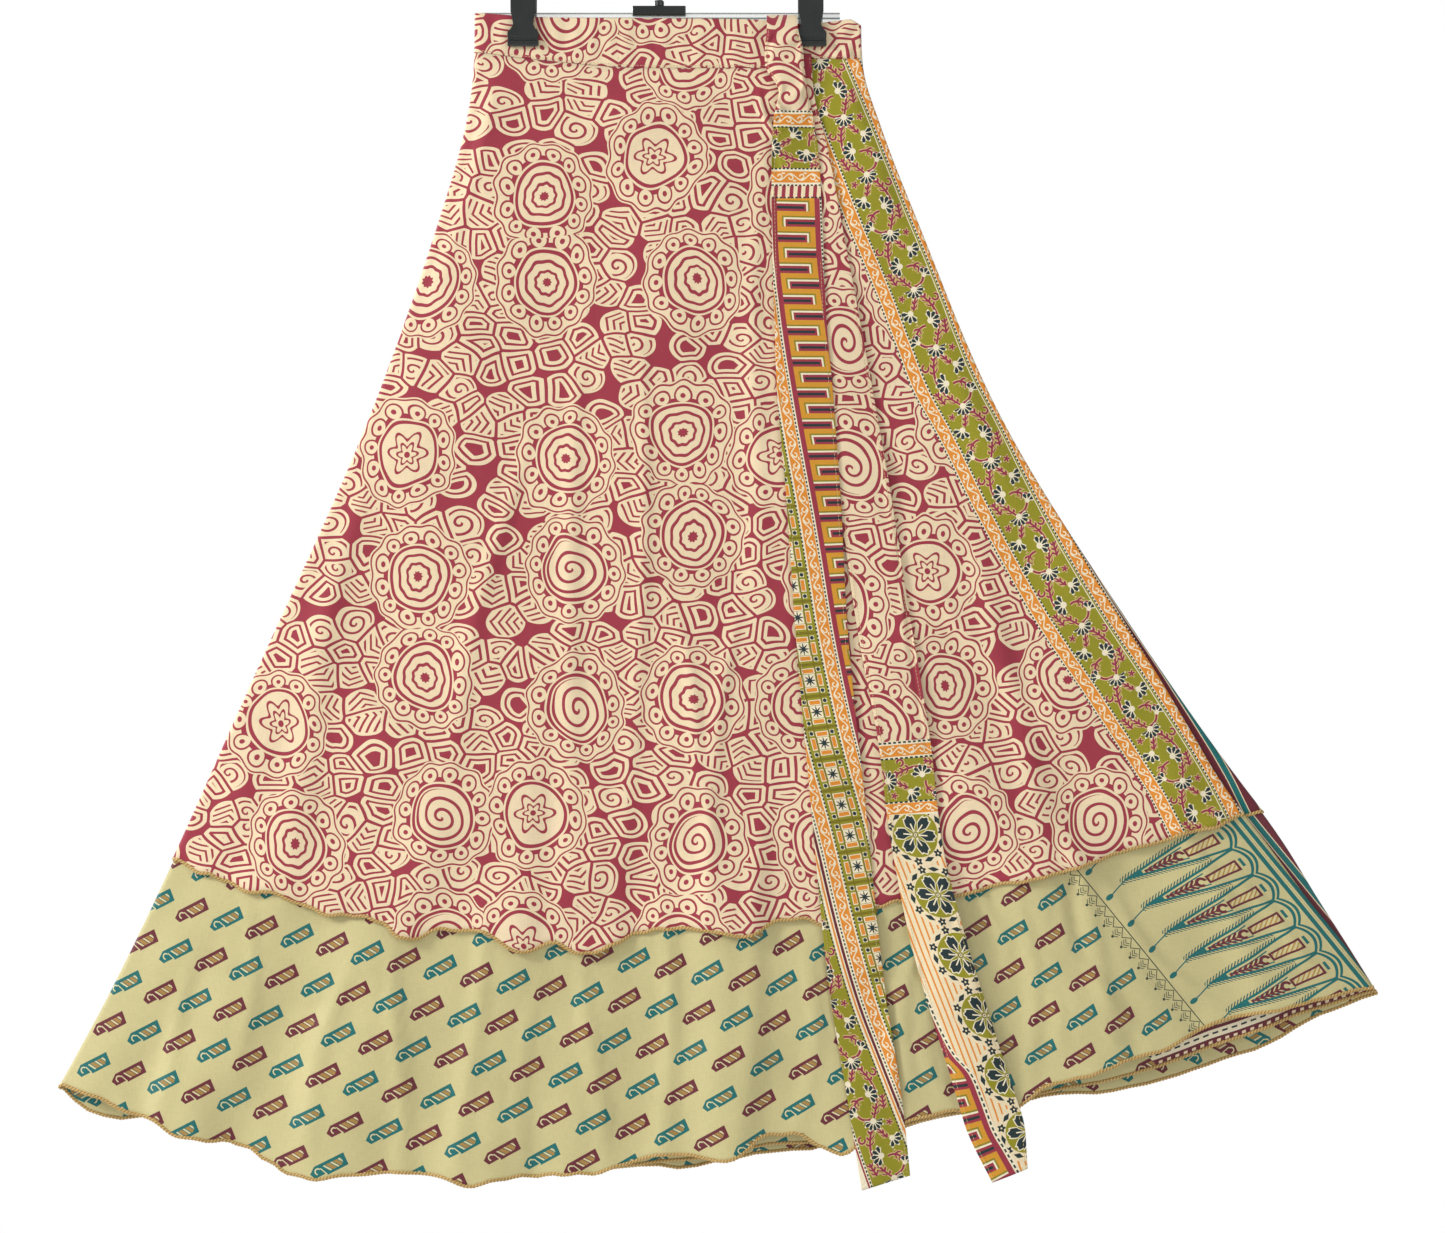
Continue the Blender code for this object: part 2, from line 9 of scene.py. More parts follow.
import bmesh
import bpy
import numpy as np
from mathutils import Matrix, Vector


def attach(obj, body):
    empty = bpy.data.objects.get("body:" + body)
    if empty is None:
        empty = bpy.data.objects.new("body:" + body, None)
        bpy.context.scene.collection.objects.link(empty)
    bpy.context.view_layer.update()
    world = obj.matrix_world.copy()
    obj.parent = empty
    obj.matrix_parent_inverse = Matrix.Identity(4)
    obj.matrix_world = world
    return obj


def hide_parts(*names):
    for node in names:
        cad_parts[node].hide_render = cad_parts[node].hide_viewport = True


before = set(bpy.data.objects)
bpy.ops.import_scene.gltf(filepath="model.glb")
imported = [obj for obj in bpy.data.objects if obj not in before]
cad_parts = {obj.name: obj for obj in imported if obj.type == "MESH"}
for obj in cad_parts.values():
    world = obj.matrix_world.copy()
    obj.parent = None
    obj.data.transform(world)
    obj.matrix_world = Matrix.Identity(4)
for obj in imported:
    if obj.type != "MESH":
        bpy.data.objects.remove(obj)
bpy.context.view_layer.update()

# %% [markdown]
# ## Curves through short tables
# A pattern cutter writes down a few widths and drops and draws a fair curve through them. The same
# is done here: `through` is a smooth curve through points that never overshoots them, `read` takes
# the points from a table, `ramp` goes from 0 to 1 without corners, and `hill` is a round bump of
# height 1.


# %% Curve helpers
FULL_TURN = 2 * math.pi


def table(columns, rows):
    """Named columns of a short table, each as an array."""
    return dict(zip(columns.split(), np.array(rows, float).T))


def rows_of(rows):
    """The rows of a table again, one tuple of numbers each."""
    return zip(*rows.values())


def through(x, xs, ys):
    """Cubic on each span: start + rise * t * t * (3 - 2t), plus each end's slope times its share."""
    step, rise = np.diff(xs), np.diff(ys)
    slope = rise / step
    tangent = np.concatenate([slope[:1], (slope[:-1] + slope[1:]) / 2, slope[-1:]])
    flat = slope[:-1] * slope[1:] <= 0
    tangent[1:-1][flat] = 0
    limit = 3 * np.minimum(np.abs(np.append(slope, slope[-1])), np.abs(np.append(slope[0], slope)))
    tangent = np.clip(tangent, -limit, limit)
    x = np.clip(x, xs[0], xs[-1])
    i = np.clip(np.searchsorted(xs, x) - 1, 0, len(step) - 1)
    t = (x - xs[i]) / step[i]
    turn = t * (1 - t) * ((1 - t) * tangent[i] - t * tangent[i + 1]) * step[i]
    return ys[i] + (ys[i + 1] - ys[i]) * t * t * (3 - 2 * t) + turn


def read(rows, column, x):
    """A column's curve, read at x on the table's first column."""
    return through(x, next(iter(rows.values())), rows[column])


def ramp(low, high, x):
    """0 below low, 1 above high, and t * t * (3 - 2t) between."""
    t = np.clip((x - low) / (high - low), 0, 1)
    return t * t * (3 - 2 * t)


def hill(distance, half):
    """Squared cosine: 1 in the middle, 0 from half outwards."""
    return np.cos(np.clip(np.abs(distance) / half, 0, 1) * math.pi / 2) ** 2


print("a ramp at its quarters:", ramp(0.0, 1.0, np.linspace(0, 1, 5)).round(3))

# %% [markdown]
# ## The skirt's sizes
# The hook's inside top is the origin, so the waist seam lies 111.6 mm under it. The tables give the
# skirt's left and right edges at each drop under the seam, the seam and the waistband's top across
# the width, and both hems. A place across the width runs from 0 at the left to 1 at the right.

# %% Sizes in metres
WAIST_SEAM_Z = -0.1116
BAND_TOP_Z = -0.0705
WALL = 0.0010
SEAM_GAP = 0.0003
UNDER_LAP_END = 0.12
DEPTHS = {
    "outer_layer": (-0.0131, -0.0028, -0.0098),
    "inner_layer": (-0.0116, -0.0043, -0.0083),
    "waistband": (-0.01235, -0.00355, -0.00905),
}
LEFT_RADIUS = (DEPTHS["outer_layer"][1] - DEPTHS["outer_layer"][0]) / 2
RIGHT_RADIUS = (DEPTHS["outer_layer"][1] - DEPTHS["outer_layer"][2]) / 2
print(f"folds: radius {LEFT_RADIUS * 1000:.2f} mm on the left, {RIGHT_RADIUS * 1000:.2f} mm on the right")

# %% Edges, waist and hems
SIDES = table(
    "drop left right",
    [
        (-0.050, -0.155, 0.170),
        (0.000, -0.156, 0.172),
        (0.050, -0.163, 0.187),
        (0.125, -0.184, 0.216),
        (0.300, -0.246, 0.291),
        (0.500, -0.335, 0.417),
        (0.770, -0.459, 0.599),
        (0.950, -0.558, 0.722),
    ],
)
WAIST = table(
    "place seam top",
    [
        (0.00, -0.0110, -0.0445),
        (0.15, -0.0050, -0.0410),
        (0.45, 0.0020, -0.0400),
        (0.75, 0.0020, -0.0385),
        (0.86, -0.0060, -0.0350),
        (0.93, -0.0060, -0.0375),
        (0.97, -0.0060, -0.0390),
        (1.00, -0.0060, -0.0345),
    ],
)
HEMS = table(
    "place outer inner",
    [
        (0.00, 0.667, 0.856),
        (0.10, 0.695, 0.892),
        (0.20, 0.717, 0.921),
        (0.35, 0.729, 0.930),
        (0.50, 0.721, 0.900),
        (0.62, 0.706, 0.883),
        (0.75, 0.685, 0.845),
        (0.87, 0.658, 0.801),
        (1.00, 0.629, 0.774),
    ],
)
BACK_HEM = table(
    "place lower",
    [
        (0.00, 0.004),
        (0.03, 0.014),
        (0.10, -0.004),
        (0.34, -0.002),
        (0.41, 0.005),
        (0.45, 0.0145),
        (0.52, 0.0173),
        (0.57, 0.012),
        (0.63, 0.006),
        (0.70, 0.008),
        (0.78, 0.026),
        (0.82, 0.030),
        (0.87, 0.031),
        (0.95, 0.014),
        (1.00, 0.006),
    ],
)
print(f"hem at the middle of the front: {read(HEMS, 'inner', 0.5):.3f} m under the seam")

# %% [markdown]
# ## Flutes
# A flared skirt has more cloth at the hem than at the waist, and the spare width stands out in
# flutes. Each row of a table is one flute: where it is, how wide, how far it stands out at the hem,
# where on the way down it starts, and how much it lets the hem sag.

# %% Flutes of the front, of the outer hem and of the back, as tables
FRONT_FLUTES = table(
    "place half depth start sag",
    [
        (0.02, 0.040, 0.005, 0.80, 0.000),
        (0.10, 0.050, 0.007, 0.60, 0.004),
        (0.20, 0.060, 0.009, 0.45, 0.011),
        (0.31, 0.045, 0.007, 0.60, 0.008),
        (0.38, 0.035, 0.005, 0.75, 0.003),
        (0.48, 0.032, 0.008, 0.60, 0.014),
        (0.56, 0.035, 0.005, 0.70, 0.020),
        (0.675, 0.036, 0.006, 0.60, 0.013),
        (0.76, 0.050, 0.010, 0.45, 0.000),
        (0.812, 0.036, 0.007, 0.60, 0.003),
        (0.92, 0.040, 0.005, 0.70, 0.002),
        (0.26, 0.090, 0.004, 0.08, 0.000),
        (0.49, 0.070, 0.003, 0.04, 0.000),
        (0.72, 0.080, 0.004, 0.08, 0.000),
    ],
)
OUTER_WAVES = table(
    "place half depth start sag",
    [
        (0.03, 0.030, 0.002, 0.80, 0.004),
        (0.075, 0.030, 0.003, 0.80, 0.005),
        (0.15, 0.035, 0.003, 0.75, 0.006),
        (0.225, 0.032, 0.003, 0.75, 0.013),
        (0.32, 0.040, 0.004, 0.65, 0.015),
        (0.375, 0.042, 0.005, 0.65, 0.017),
        (0.505, 0.040, 0.003, 0.80, 0.010),
        (0.59, 0.035, 0.003, 0.80, 0.019),
        (0.69, 0.045, 0.003, 0.80, 0.002),
        (0.80, 0.060, 0.003, 0.75, 0.002),
        (0.89, 0.040, 0.002, 0.80, 0.001),
        (0.96, 0.035, 0.002, 0.80, 0.002),
    ],
)
BACK_FLUTES = table(
    "place half depth start sag",
    [
        (0.12, 0.12, 0.006, 0.40, 0.000),
        (0.34, 0.12, 0.009, 0.20, 0.003),
        (0.58, 0.13, 0.010, 0.25, 0.003),
        (0.82, 0.12, 0.008, 0.35, 0.000),
    ],
)


# %% Flutes added up
def flutes(rows, place, share):
    """Sum of every flute's hill across, times its ramp on the way down."""
    total = np.zeros(np.broadcast(place, share).shape)
    for at, half, depth, start, _ in rows_of(rows):
        total += depth * hill(place - at, half) * ramp(start, 1.0, share)
    return total


def sag(rows, place):
    """Sum of every flute's hill across, times its sag."""
    return sum(low * hill(place - at, half) for at, half, _, _, low in rows_of(rows))


for part, rows in (("front", FRONT_FLUTES), ("outer hem", OUTER_WAVES), ("back", BACK_FLUTES)):
    print(f"{part}: {len(rows['place'])} flutes, {rows['depth'].max() * 1000:.0f} mm deep at most")


# %% [markdown]
# ## Creases
# Cloth that was folded away and hung up keeps soft creases. They run down from the waist, are long
# or short, and lie at uneven distances. Both front layers and the ties take the same ones, because
# they lie on each other, and the back has its own. A crease here is a ridge that swells along a
# line from a top point to a low point and then dies away.

# %% Crease lines
FRONT_CREASES = table(
    "top_x top_z low_x low_z half height",
    [
        (-0.150, -0.150, -0.235, -0.420, 0.022, 0.0035),
        (-0.235, -0.400, -0.330, -0.840, 0.026, 0.0030),
        (-0.115, -0.420, -0.175, -0.700, 0.017, 0.0026),
        (-0.060, -0.330, -0.090, -0.900, 0.020, 0.0030),
        (-0.012, -0.320, -0.030, -0.860, 0.015, 0.0024),
        (0.008, -0.560, 0.050, -0.760, 0.012, 0.0028),
        (0.072, -0.540, 0.030, -0.850, 0.014, 0.0032),
        (0.088, -0.200, 0.076, -0.600, 0.018, 0.0022),
        (-0.150, -0.800, -0.165, -1.060, 0.016, 0.0034),
        (-0.262, -0.860, -0.300, -1.030, 0.020, 0.0040),
        (0.000, -0.800, 0.012, -1.050, 0.015, 0.0038),
        (0.095, -0.720, 0.064, -1.020, 0.020, 0.0040),
        (0.270, -0.500, 0.330, -0.840, 0.022, 0.0034),
        (0.330, -0.740, 0.400, -0.960, 0.018, 0.0045),
        (0.240, -0.760, 0.262, -0.990, 0.017, 0.0040),
        (0.420, -0.700, 0.505, -0.900, 0.018, 0.0030),
        (0.0885, -0.125, 0.0985, -0.195, 0.005, 0.0042),
        (0.192, -0.480, 0.224, -0.690, 0.006, 0.0026),
        (0.372, -0.800, 0.462, -0.905, 0.010, 0.0034),
        (0.330, -0.850, 0.420, -0.930, 0.009, 0.0028),
        (0.300, -0.800, 0.318, -0.965, 0.011, 0.0036),
        (0.470, -0.790, 0.560, -0.870, 0.010, 0.0028),
        (0.215, -0.830, 0.205, -0.980, 0.010, 0.0030),
        (0.130, -0.850, 0.120, -1.010, 0.010, 0.0030),
        (-0.060, -0.840, -0.050, -1.050, 0.011, 0.0032),
        (-0.100, -0.860, -0.120, -1.060, 0.009, 0.0024),
        (-0.215, -0.840, -0.222, -1.050, 0.012, 0.0034),
        (-0.380, -0.850, -0.430, -1.000, 0.014, 0.0030),
        (-0.340, -0.800, -0.352, -0.960, 0.010, 0.0022),
        (-0.130, -0.210, -0.020, -0.290, 0.014, 0.0016),
        (-0.090, -0.500, 0.020, -0.600, 0.014, 0.0016),
        (-0.280, -0.620, -0.180, -0.700, 0.016, 0.0018),
        (0.170, -0.420, 0.205, -0.700, 0.014, 0.0024),
        (0.230, -0.540, 0.300, -0.640, 0.012, 0.0018),
        (0.262, -0.775, 0.292, -0.880, 0.007, 0.0034),
        (0.318, -0.790, 0.352, -0.850, 0.007, 0.0032),
        (0.322, -0.885, 0.346, -0.940, 0.007, 0.0028),
        (0.222, -0.905, 0.238, -0.985, 0.007, 0.0028),
    ],
)
BACK_CREASES = table(
    "top_x top_z low_x low_z half height",
    [
        (-0.120, -0.140, -0.190, -0.480, 0.022, 0.0034),
        (-0.200, -0.420, -0.280, -0.860, 0.024, 0.0036),
        (-0.080, -0.260, -0.120, -0.800, 0.018, 0.0030),
        (-0.020, -0.420, -0.040, -0.940, 0.020, 0.0034),
        (0.020, -0.160, 0.040, -0.560, 0.018, 0.0028),
        (0.080, -0.480, 0.120, -0.980, 0.020, 0.0036),
        (0.120, -0.180, 0.200, -0.620, 0.020, 0.0032),
        (0.240, -0.480, 0.340, -0.880, 0.022, 0.0040),
        (0.360, -0.560, 0.480, -0.860, 0.018, 0.0030),
        (-0.330, -0.700, -0.400, -0.950, 0.020, 0.0036),
    ],
)


# %% Creases and rumples
CREASE_BEND = 0.006


def creases(rows, x, z):
    """Sum over lines of height * hill(distance to the line) * ramp in * ramp out along it."""
    total = np.zeros(np.broadcast(x, z).shape)
    for top_x, top_z, low_x, low_z, half, height in rows_of(rows):
        long = math.hypot(low_x - top_x, low_z - top_z)
        down = np.array([low_x - top_x, low_z - top_z]) / long
        along = ((x - top_x) * down[0] + (z - top_z) * down[1]) / long
        bend = CREASE_BEND * np.sin(along * 5.0 + top_x * 40)
        off = (x - top_x) * down[1] - (z - top_z) * down[0] + bend
        spread = half * (0.55 + 0.45 * np.clip(along, 0, 1))
        total += height * hill(off, spread) * ramp(-0.15, 0.35, along) * (1 - ramp(0.75, 1.15, along))
    return total


RUMPLES = table(
    "turn wave height shift",
    [
        (0.30, 0.150, 0.0010, 0.0),
        (1.10, 0.094, 0.0006, 1.9),
        (-0.50, 0.120, 0.0008, 4.1),
        (0.05, 0.061, 0.0004, 2.7),
        (-1.15, 0.078, 0.0004, 5.3),
        (0.75, 0.047, 0.0003, 0.8),
    ],
)


def rumple(x, z):
    """Sum of slight waves in six directions: height * (1 + sine(distance that way / wave))."""
    total = np.zeros(np.broadcast(x, z).shape)
    for turn, wave, height, shift in rows_of(RUMPLES):
        along = x * math.cos(turn) + z * math.sin(turn)
        total += height * (1 + np.sin(along * FULL_TURN / wave + shift + 3 * np.sin(z * 9 + shift)))
    return total


print(f"creases: {len(FRONT_CREASES['half'])} in front and {len(BACK_CREASES['half'])} behind")


# %% [markdown]
# ## The wrap as one surface
# The skirt is one long double cloth. It starts at the free front edge on the right, crosses the
# front, turns round the left fold, crosses the back, turns round the right fold and ends behind the
# front. A column of the grid is a place along that way, and a row is a drop. The same function
# gives both layers and the waistband, at their own depths.


# %% Columns along the wrap
def wrap_columns(front_count, back_count, under_count, fold_count):
    """Each column's place across, and how far it has turned round the left and the right fold."""
    front = np.linspace(1, 0, front_count + 1)
    back = np.linspace(0, 1, back_count + 1)
    under = np.linspace(1, UNDER_LAP_END, under_count + 1)
    turn = np.linspace(0, math.pi, fold_count + 1)[1:-1]
    zero, pi = np.zeros_like, lambda a: np.full_like(a, math.pi)
    place = np.concatenate([front, zero(turn), back, zero(turn) + 1, under])
    left = np.concatenate([zero(front), turn, pi(back), pi(turn), pi(under)])
    right = np.concatenate([zero(front), zero(turn), zero(back), turn, pi(under)])
    return {
        "place": place,
        "left": left,
        "right": right,
        "to_back": (1 - np.cos(left)) / 2,
        "to_under": (1 - np.cos(right)) / 2,
    }


print("columns of a coarse wrap:", wrap_columns(4, 2, 2, 3)["place"])


# %% Hem lines
LONG_WAVE, SHORT_WAVE = 0.0014, 0.0009
OUTER_BACK_HIGHER = 0.002


def lettuce(place, shift):
    """Short uneven waves of a hem line that its tight overlock draws up, calmer on the right."""
    turn = FULL_TURN * place
    wave = LONG_WAVE * np.sin(17 * turn + 2 * np.sin(3 * turn) + shift)
    wave += SHORT_WAVE * np.sin(38 * turn + 3 * np.sin(5 * turn + shift))
    return wave * ramp(0.0, 0.03, place) * (1 - 0.7 * ramp(0.55, 0.85, place))


def hem_drops(place, to_back, to_under):
    """Outer and inner hem: the table's curve plus the flutes' sag, and the back's own drop."""
    lower = read(BACK_HEM, "lower", place)
    outer = read(HEMS, "outer", place) + sag(OUTER_WAVES, place) * (1 - to_back)
    inner = read(HEMS, "inner", place) + sag(FRONT_FLUTES, place) * (1 - to_back)
    outer, inner = outer + lettuce(place, 0.0) * (1 - to_back), inner + lettuce(place, 1.3)
    return outer - OUTER_BACK_HIGHER * to_back, inner + lower * to_back * (1 - 0.45 * to_under)


print("outer and inner hem at the middle:", np.round(hem_drops(0.5, 0.0, 0.0), 3))


# %% Side edges
TUCK = table(
    "drop inwards beyond",
    [
        (0.400, 0.0000, 0.0000),
        (0.478, 0.0035, 0.0000),
        (0.518, 0.0050, 0.0010),
        (0.560, 0.0080, 0.0025),
        (0.600, 0.0110, 0.0050),
        (0.630, 0.0100, 0.0075),
        (0.650, 0.0080, 0.0080),
        (0.700, 0.0050, 0.0050),
        (0.745, 0.0000, 0.0030),
        (0.800, 0.0000, 0.0000),
    ],
)
FREE_EDGE_IN = 0.001


def edges_at(drop):
    """Left fold line, right fold line and free front edge at a drop."""
    left, right = read(SIDES, "left", drop), read(SIDES, "right", drop)
    tuck = read(TUCK, "inwards", drop)
    fold = right + read(TUCK, "beyond", drop)
    return left + LEFT_RADIUS + WALL / 2, fold - RIGHT_RADIUS - WALL / 2, right - FREE_EDGE_IN - tuck


def row_drops(columns, rows_down):
    """Drops of the rows: 0 to 1 from the seam to the outer hem, 1 to 2 on to the inner hem."""
    place = columns["place"]
    outer, inner = hem_drops(place, columns["to_back"], columns["to_under"])
    seam = read(WAIST, "seam", place)
    v = rows_down[:, None]
    drop = seam + (outer - seam) * np.clip(v, 0, 1) + (inner - outer) * np.clip(v - 1, 0, 1)
    return drop, np.clip((drop - seam) / (inner - seam), 0, 1)


print("left fold, right fold and free edge 0.6 m down:", np.round(edges_at(0.6), 3))


# %% Relief of the front and ripples of the hems
def open_cloth(place, share):
    """1 on the open cloth, down to 0 at both folds and at the seam."""
    return ramp(0.0, 0.05, place) * (1 - ramp(0.95, 1.0, place)) * ramp(0.0, 0.06, share)


def front_relief(x, z, place, share, waves):
    """How far the front stands out: flutes, plus creases that die away at the folds and the seam."""
    out = flutes(FRONT_FLUTES, place, share)
    if waves:
        outer_part = read(HEMS, "outer", place) / read(HEMS, "inner", place)
        out = out + flutes(OUTER_WAVES, place, share / outer_part)
    return out + (creases(FRONT_CREASES, x, z) + rumple(x, z)) * open_cloth(place, share)


UNDER_TIES = {"outer_layer": 0.195, "inner_layer": 0.260}
PRESSED_HALF = 0.055
RIPPLE_HEIGHT = 0.0017
RIPPLE_FADE = 0.014


def hem_ripple(name, u, above):
    """Waves of an overlocked edge, dying away within about 35 mm above it and under the ties."""
    shift = len(name) * 0.7
    pressed = np.exp(-(((u - UNDER_TIES[name]) / PRESSED_HALF) ** 4))
    wave = 1 + np.sin(u * 118 + shift + 2 * np.sin(u * 29)) * np.sin(u * 37 + 2 * shift)
    return RIPPLE_HEIGHT * wave * np.exp(-above / RIPPLE_FADE) * (1 - pressed)


print(f"the hems spring {RIPPLE_HEIGHT * 2000:.1f} mm out at most")


# %% Points of the wrap
def wrap_points(columns, drop, share, name, waves=False, plain=False):
    """x from place between the edges, y from front to back to under lap, z from the drop."""
    front_y, back_y, under_y = DEPTHS[name]
    place, to_back, to_under = columns["place"], columns["to_back"], columns["to_under"]
    fold_left, fold_right, free_edge = edges_at(drop)
    far_side = free_edge + (fold_right - free_edge) * to_back
    x = fold_left + (far_side - fold_left) * place
    x = x - (back_y - front_y) / 2 * np.sin(columns["left"])
    x = x + (back_y - under_y) / 2 * np.sin(columns["right"])
    z = WAIST_SEAM_Z - drop
    front, back = front_y + 0 * x, back_y + 0 * x
    if not plain:
        ripple = hem_ripple(name, x, drop[-1] - drop) * ramp(0, 0.05, place) * ramp(0, 0.05, 1 - place)
        front = front_y - front_relief(x, z, place, share, waves) - ripple
        soft = (creases(BACK_CREASES, x, z) + rumple(x, z)) * open_cloth(place, share)
        back = back_y + flutes(BACK_FLUTES, place, share) + soft
    y = front + (back - front) * to_back
    y = y + (under_y - y) * to_under
    return np.stack([x, y, z], axis=-1)


# %% [markdown]
# ## From a grid of points to cloth
# A mesh wants vertices and faces. The points go in as one array, the faces are quads between
# neighbours, and a Solidify modifier gives the thin shell its thickness. The print has to follow
# the cloth, so each piece carries UV maps in metres, measured along the cloth.


# %% Mesh builder
LAYER_THICKNESS = 0.0006
WELD_DISTANCE = 1e-6


def placed(name, mesh):
    """A new object for the mesh, at the origin."""
    piece = bpy.data.objects.new(name, mesh)
    bpy.context.scene.collection.objects.link(piece)
    return piece


def surface(name, points, uv_maps, thickness=LAYER_THICKNESS):
    """Quads (r, c), (r + 1, c), (r + 1, c + 1), (r, c + 1) over a grid of rows and columns.

    A UV map is one array, or a list of (first column, array) where it starts anew at a fold.
    """
    rows, columns = points.shape[:2]
    corner = np.arange(rows * columns).reshape(rows, columns)
    quads = np.stack([corner[:-1, :-1], corner[1:, :-1], corner[1:, 1:], corner[:-1, 1:]], -1)
    quads = quads.reshape(-1, 4)
    mesh = bpy.data.meshes.new(name)
    mesh.vertices.add(rows * columns)
    mesh.vertices.foreach_set("co", points.reshape(-1).astype(np.float32))
    mesh.loops.add(quads.size)
    mesh.loops.foreach_set("vertex_index", quads.reshape(-1).astype(np.int32))
    mesh.polygons.add(len(quads))
    mesh.polygons.foreach_set("loop_start", np.arange(0, quads.size, 4, dtype=np.int32))
    mesh.polygons.foreach_set("use_smooth", np.ones(len(quads), bool))
    mesh.update(calc_edges=True)
    for uv_name, uv in uv_maps.items():
        corners = np.zeros((rows - 1, columns - 1, 4, 2), np.float32)
        for start, part in uv if isinstance(uv, list) else [(0, uv)]:
            whole = part.reshape(-1, 2)[quads].reshape(rows - 1, columns - 1, 4, 2)
            corners[:, start:] = whole[:, start:]
        mesh.uv_layers.new(name=uv_name).data.foreach_set("uv", corners.reshape(-1))
    piece = placed(name, mesh)
    if thickness:
        wall = piece.modifiers.new("thickness", "SOLIDIFY")
        wall.thickness = thickness
        wall.offset = 0
    print(f"{name}: {rows} x {columns} points")
    return piece


# %% Welding and measuring
def weld(piece):
    """Join points that lie on each other, and turn the faces outwards."""
    mesh = bmesh.new()
    mesh.from_mesh(piece.data)
    bmesh.ops.remove_doubles(mesh, verts=mesh.verts, dist=WELD_DISTANCE)
    bmesh.ops.recalc_face_normals(mesh, faces=mesh.faces)
    mesh.to_mesh(piece.data)
    mesh.free()


def flat_area(points):
    """Sum over the grid of half the cross product of each quad's diagonals."""
    a = points[1:, 1:] - points[:-1, :-1]
    b = points[1:, :-1] - points[:-1, 1:]
    return float(np.linalg.norm(np.cross(a, b), axis=-1).sum() / 2)


# %% [markdown]
# ## Where the print lies
# The cloth is unrolled for the print: across the front the print's first coordinate is x itself,
# and past a fold it goes on counting the same way. The printed border of each layer runs along the
# free front edge, so a second map holds the distance in from that edge and the distance down it.

# %% Print coordinates
BORDER_LINE = table(
    "drop x",
    [
        (-0.050, 0.136),
        (0.000, 0.157),
        (0.041, 0.174),
        (0.110, 0.2015),
        (0.187, 0.2335),
        (0.225, 0.248),
        (0.259, 0.262),
        (0.301, 0.284),
        (0.368, 0.3175),
        (0.445, 0.361),
        (0.525, 0.4135),
        (0.598, 0.459),
        (0.629, 0.475),
        (0.800, 0.560),
    ],
)
END_BORDER_LINE = table(
    "drop x",
    [
        (-0.050, 0.169),
        (0.300, 0.289),
        (0.500, 0.405),
        (0.580, 0.452),
        (0.6354, 0.4963),
        (0.6939, 0.5441),
        (0.800, 0.6308),
        (0.950, 0.7533),
    ],
)


# %% Unrolling
def unrolled(columns, points, drop):
    """x on the front, then twice the left fold less x on the back, and so on round the right."""
    fold_left, fold_right, _ = edges_at(drop)
    x = points[..., 0]
    on_back = 2 * fold_left - x
    on_under = 2 * fold_left - 2 * fold_right + x
    u = np.where(columns["left"] > math.pi / 2, on_back, x)
    return np.where(columns["right"] > math.pi / 2, on_under, u)


def edge_map(x, drop, line):
    """Distance square in from a line down the front, and length down it to the same spot."""
    fine = np.linspace(-0.06, 0.96, 400)
    line_x = read(line, "x", fine)
    slope = np.gradient(line_x, fine)
    slant = np.hypot(1, slope)
    down = np.concatenate([[0], np.cumsum(np.hypot(np.diff(line_x), np.diff(fine)))])
    inward = (np.interp(drop, fine, line_x) - x) * np.interp(drop, fine, 1 / slant)
    lean = np.interp(drop, fine, slope)
    return np.stack([inward, np.interp(drop, fine, down) - inward * lean], -1)


# %% [markdown]
# ## The two layers
# The outer layer ends 145 to 205 mm above the inner one. The same two functions give the drops and
# the points of both, so that the cloths stay parallel.

# %% Points of both layers
columns = wrap_columns(190, 76, 36, 8)
outer_rows = np.linspace(0, 1, 112)
inner_rows = np.concatenate([np.linspace(0, 1, 56), np.linspace(1, 2, 46)[1:]])
outer_drop, outer_share = row_drops(columns, outer_rows)
inner_drop, inner_share = row_drops(columns, inner_rows)
outer_points = wrap_points(columns, outer_drop, outer_share, "outer_layer", waves=True)
inner_points = wrap_points(columns, inner_drop, inner_share, "inner_layer")
outer_area, inner_area = flat_area(outer_points), flat_area(inner_points)
print(f"outer layer {outer_area:.2f} square metres, inner layer {inner_area:.2f}")

# %% Outer and inner layer
BACK_START, UNDER_START = -0.67, -1.50


def cloth_maps(points, drop, line):
    """The three maps of a layer: over the cloth, in from the border's line, and up from the hem.

    The print starts anew at each fold, so that it hangs as straight behind as in front.
    """
    x, z = points[..., 0], points[..., 2]
    lap = columns["to_back"] + columns["to_under"] + 0 * x
    behind = np.argmax(columns["left"] > math.pi / 2)
    beneath = np.argmax(columns["right"] > math.pi / 2)
    return {
        "cloth": [
            (0, np.stack([x, z], -1)),
            (behind, np.stack([BACK_START - x, z], -1)),
            (beneath, np.stack([UNDER_START + x, z], -1)),
        ],
        "border": edge_map(x, drop, line),
        "hem": np.stack([lap, drop[-1] - drop], -1),
    }


outer_cloth = surface("outer_cloth", outer_points, cloth_maps(outer_points, outer_drop, BORDER_LINE))
inner_cloth = surface("inner_cloth", inner_points, cloth_maps(inner_points, inner_drop, END_BORDER_LINE))

# %% [markdown]
# ## The waistband
# A strip folded double over both top edges. It is thicker than the layers and a little uneven,
# because it is gathered by its stitching.

# %% Waistband
BAND_THICKNESS = 0.0023
BAND_HEIGHT = 0.0415
FINE_PUCKER, BROAD_PUCKER = 0.00035, 0.00030
END_CRUMPLE, END_FOLD = 0.0012, 0.0024


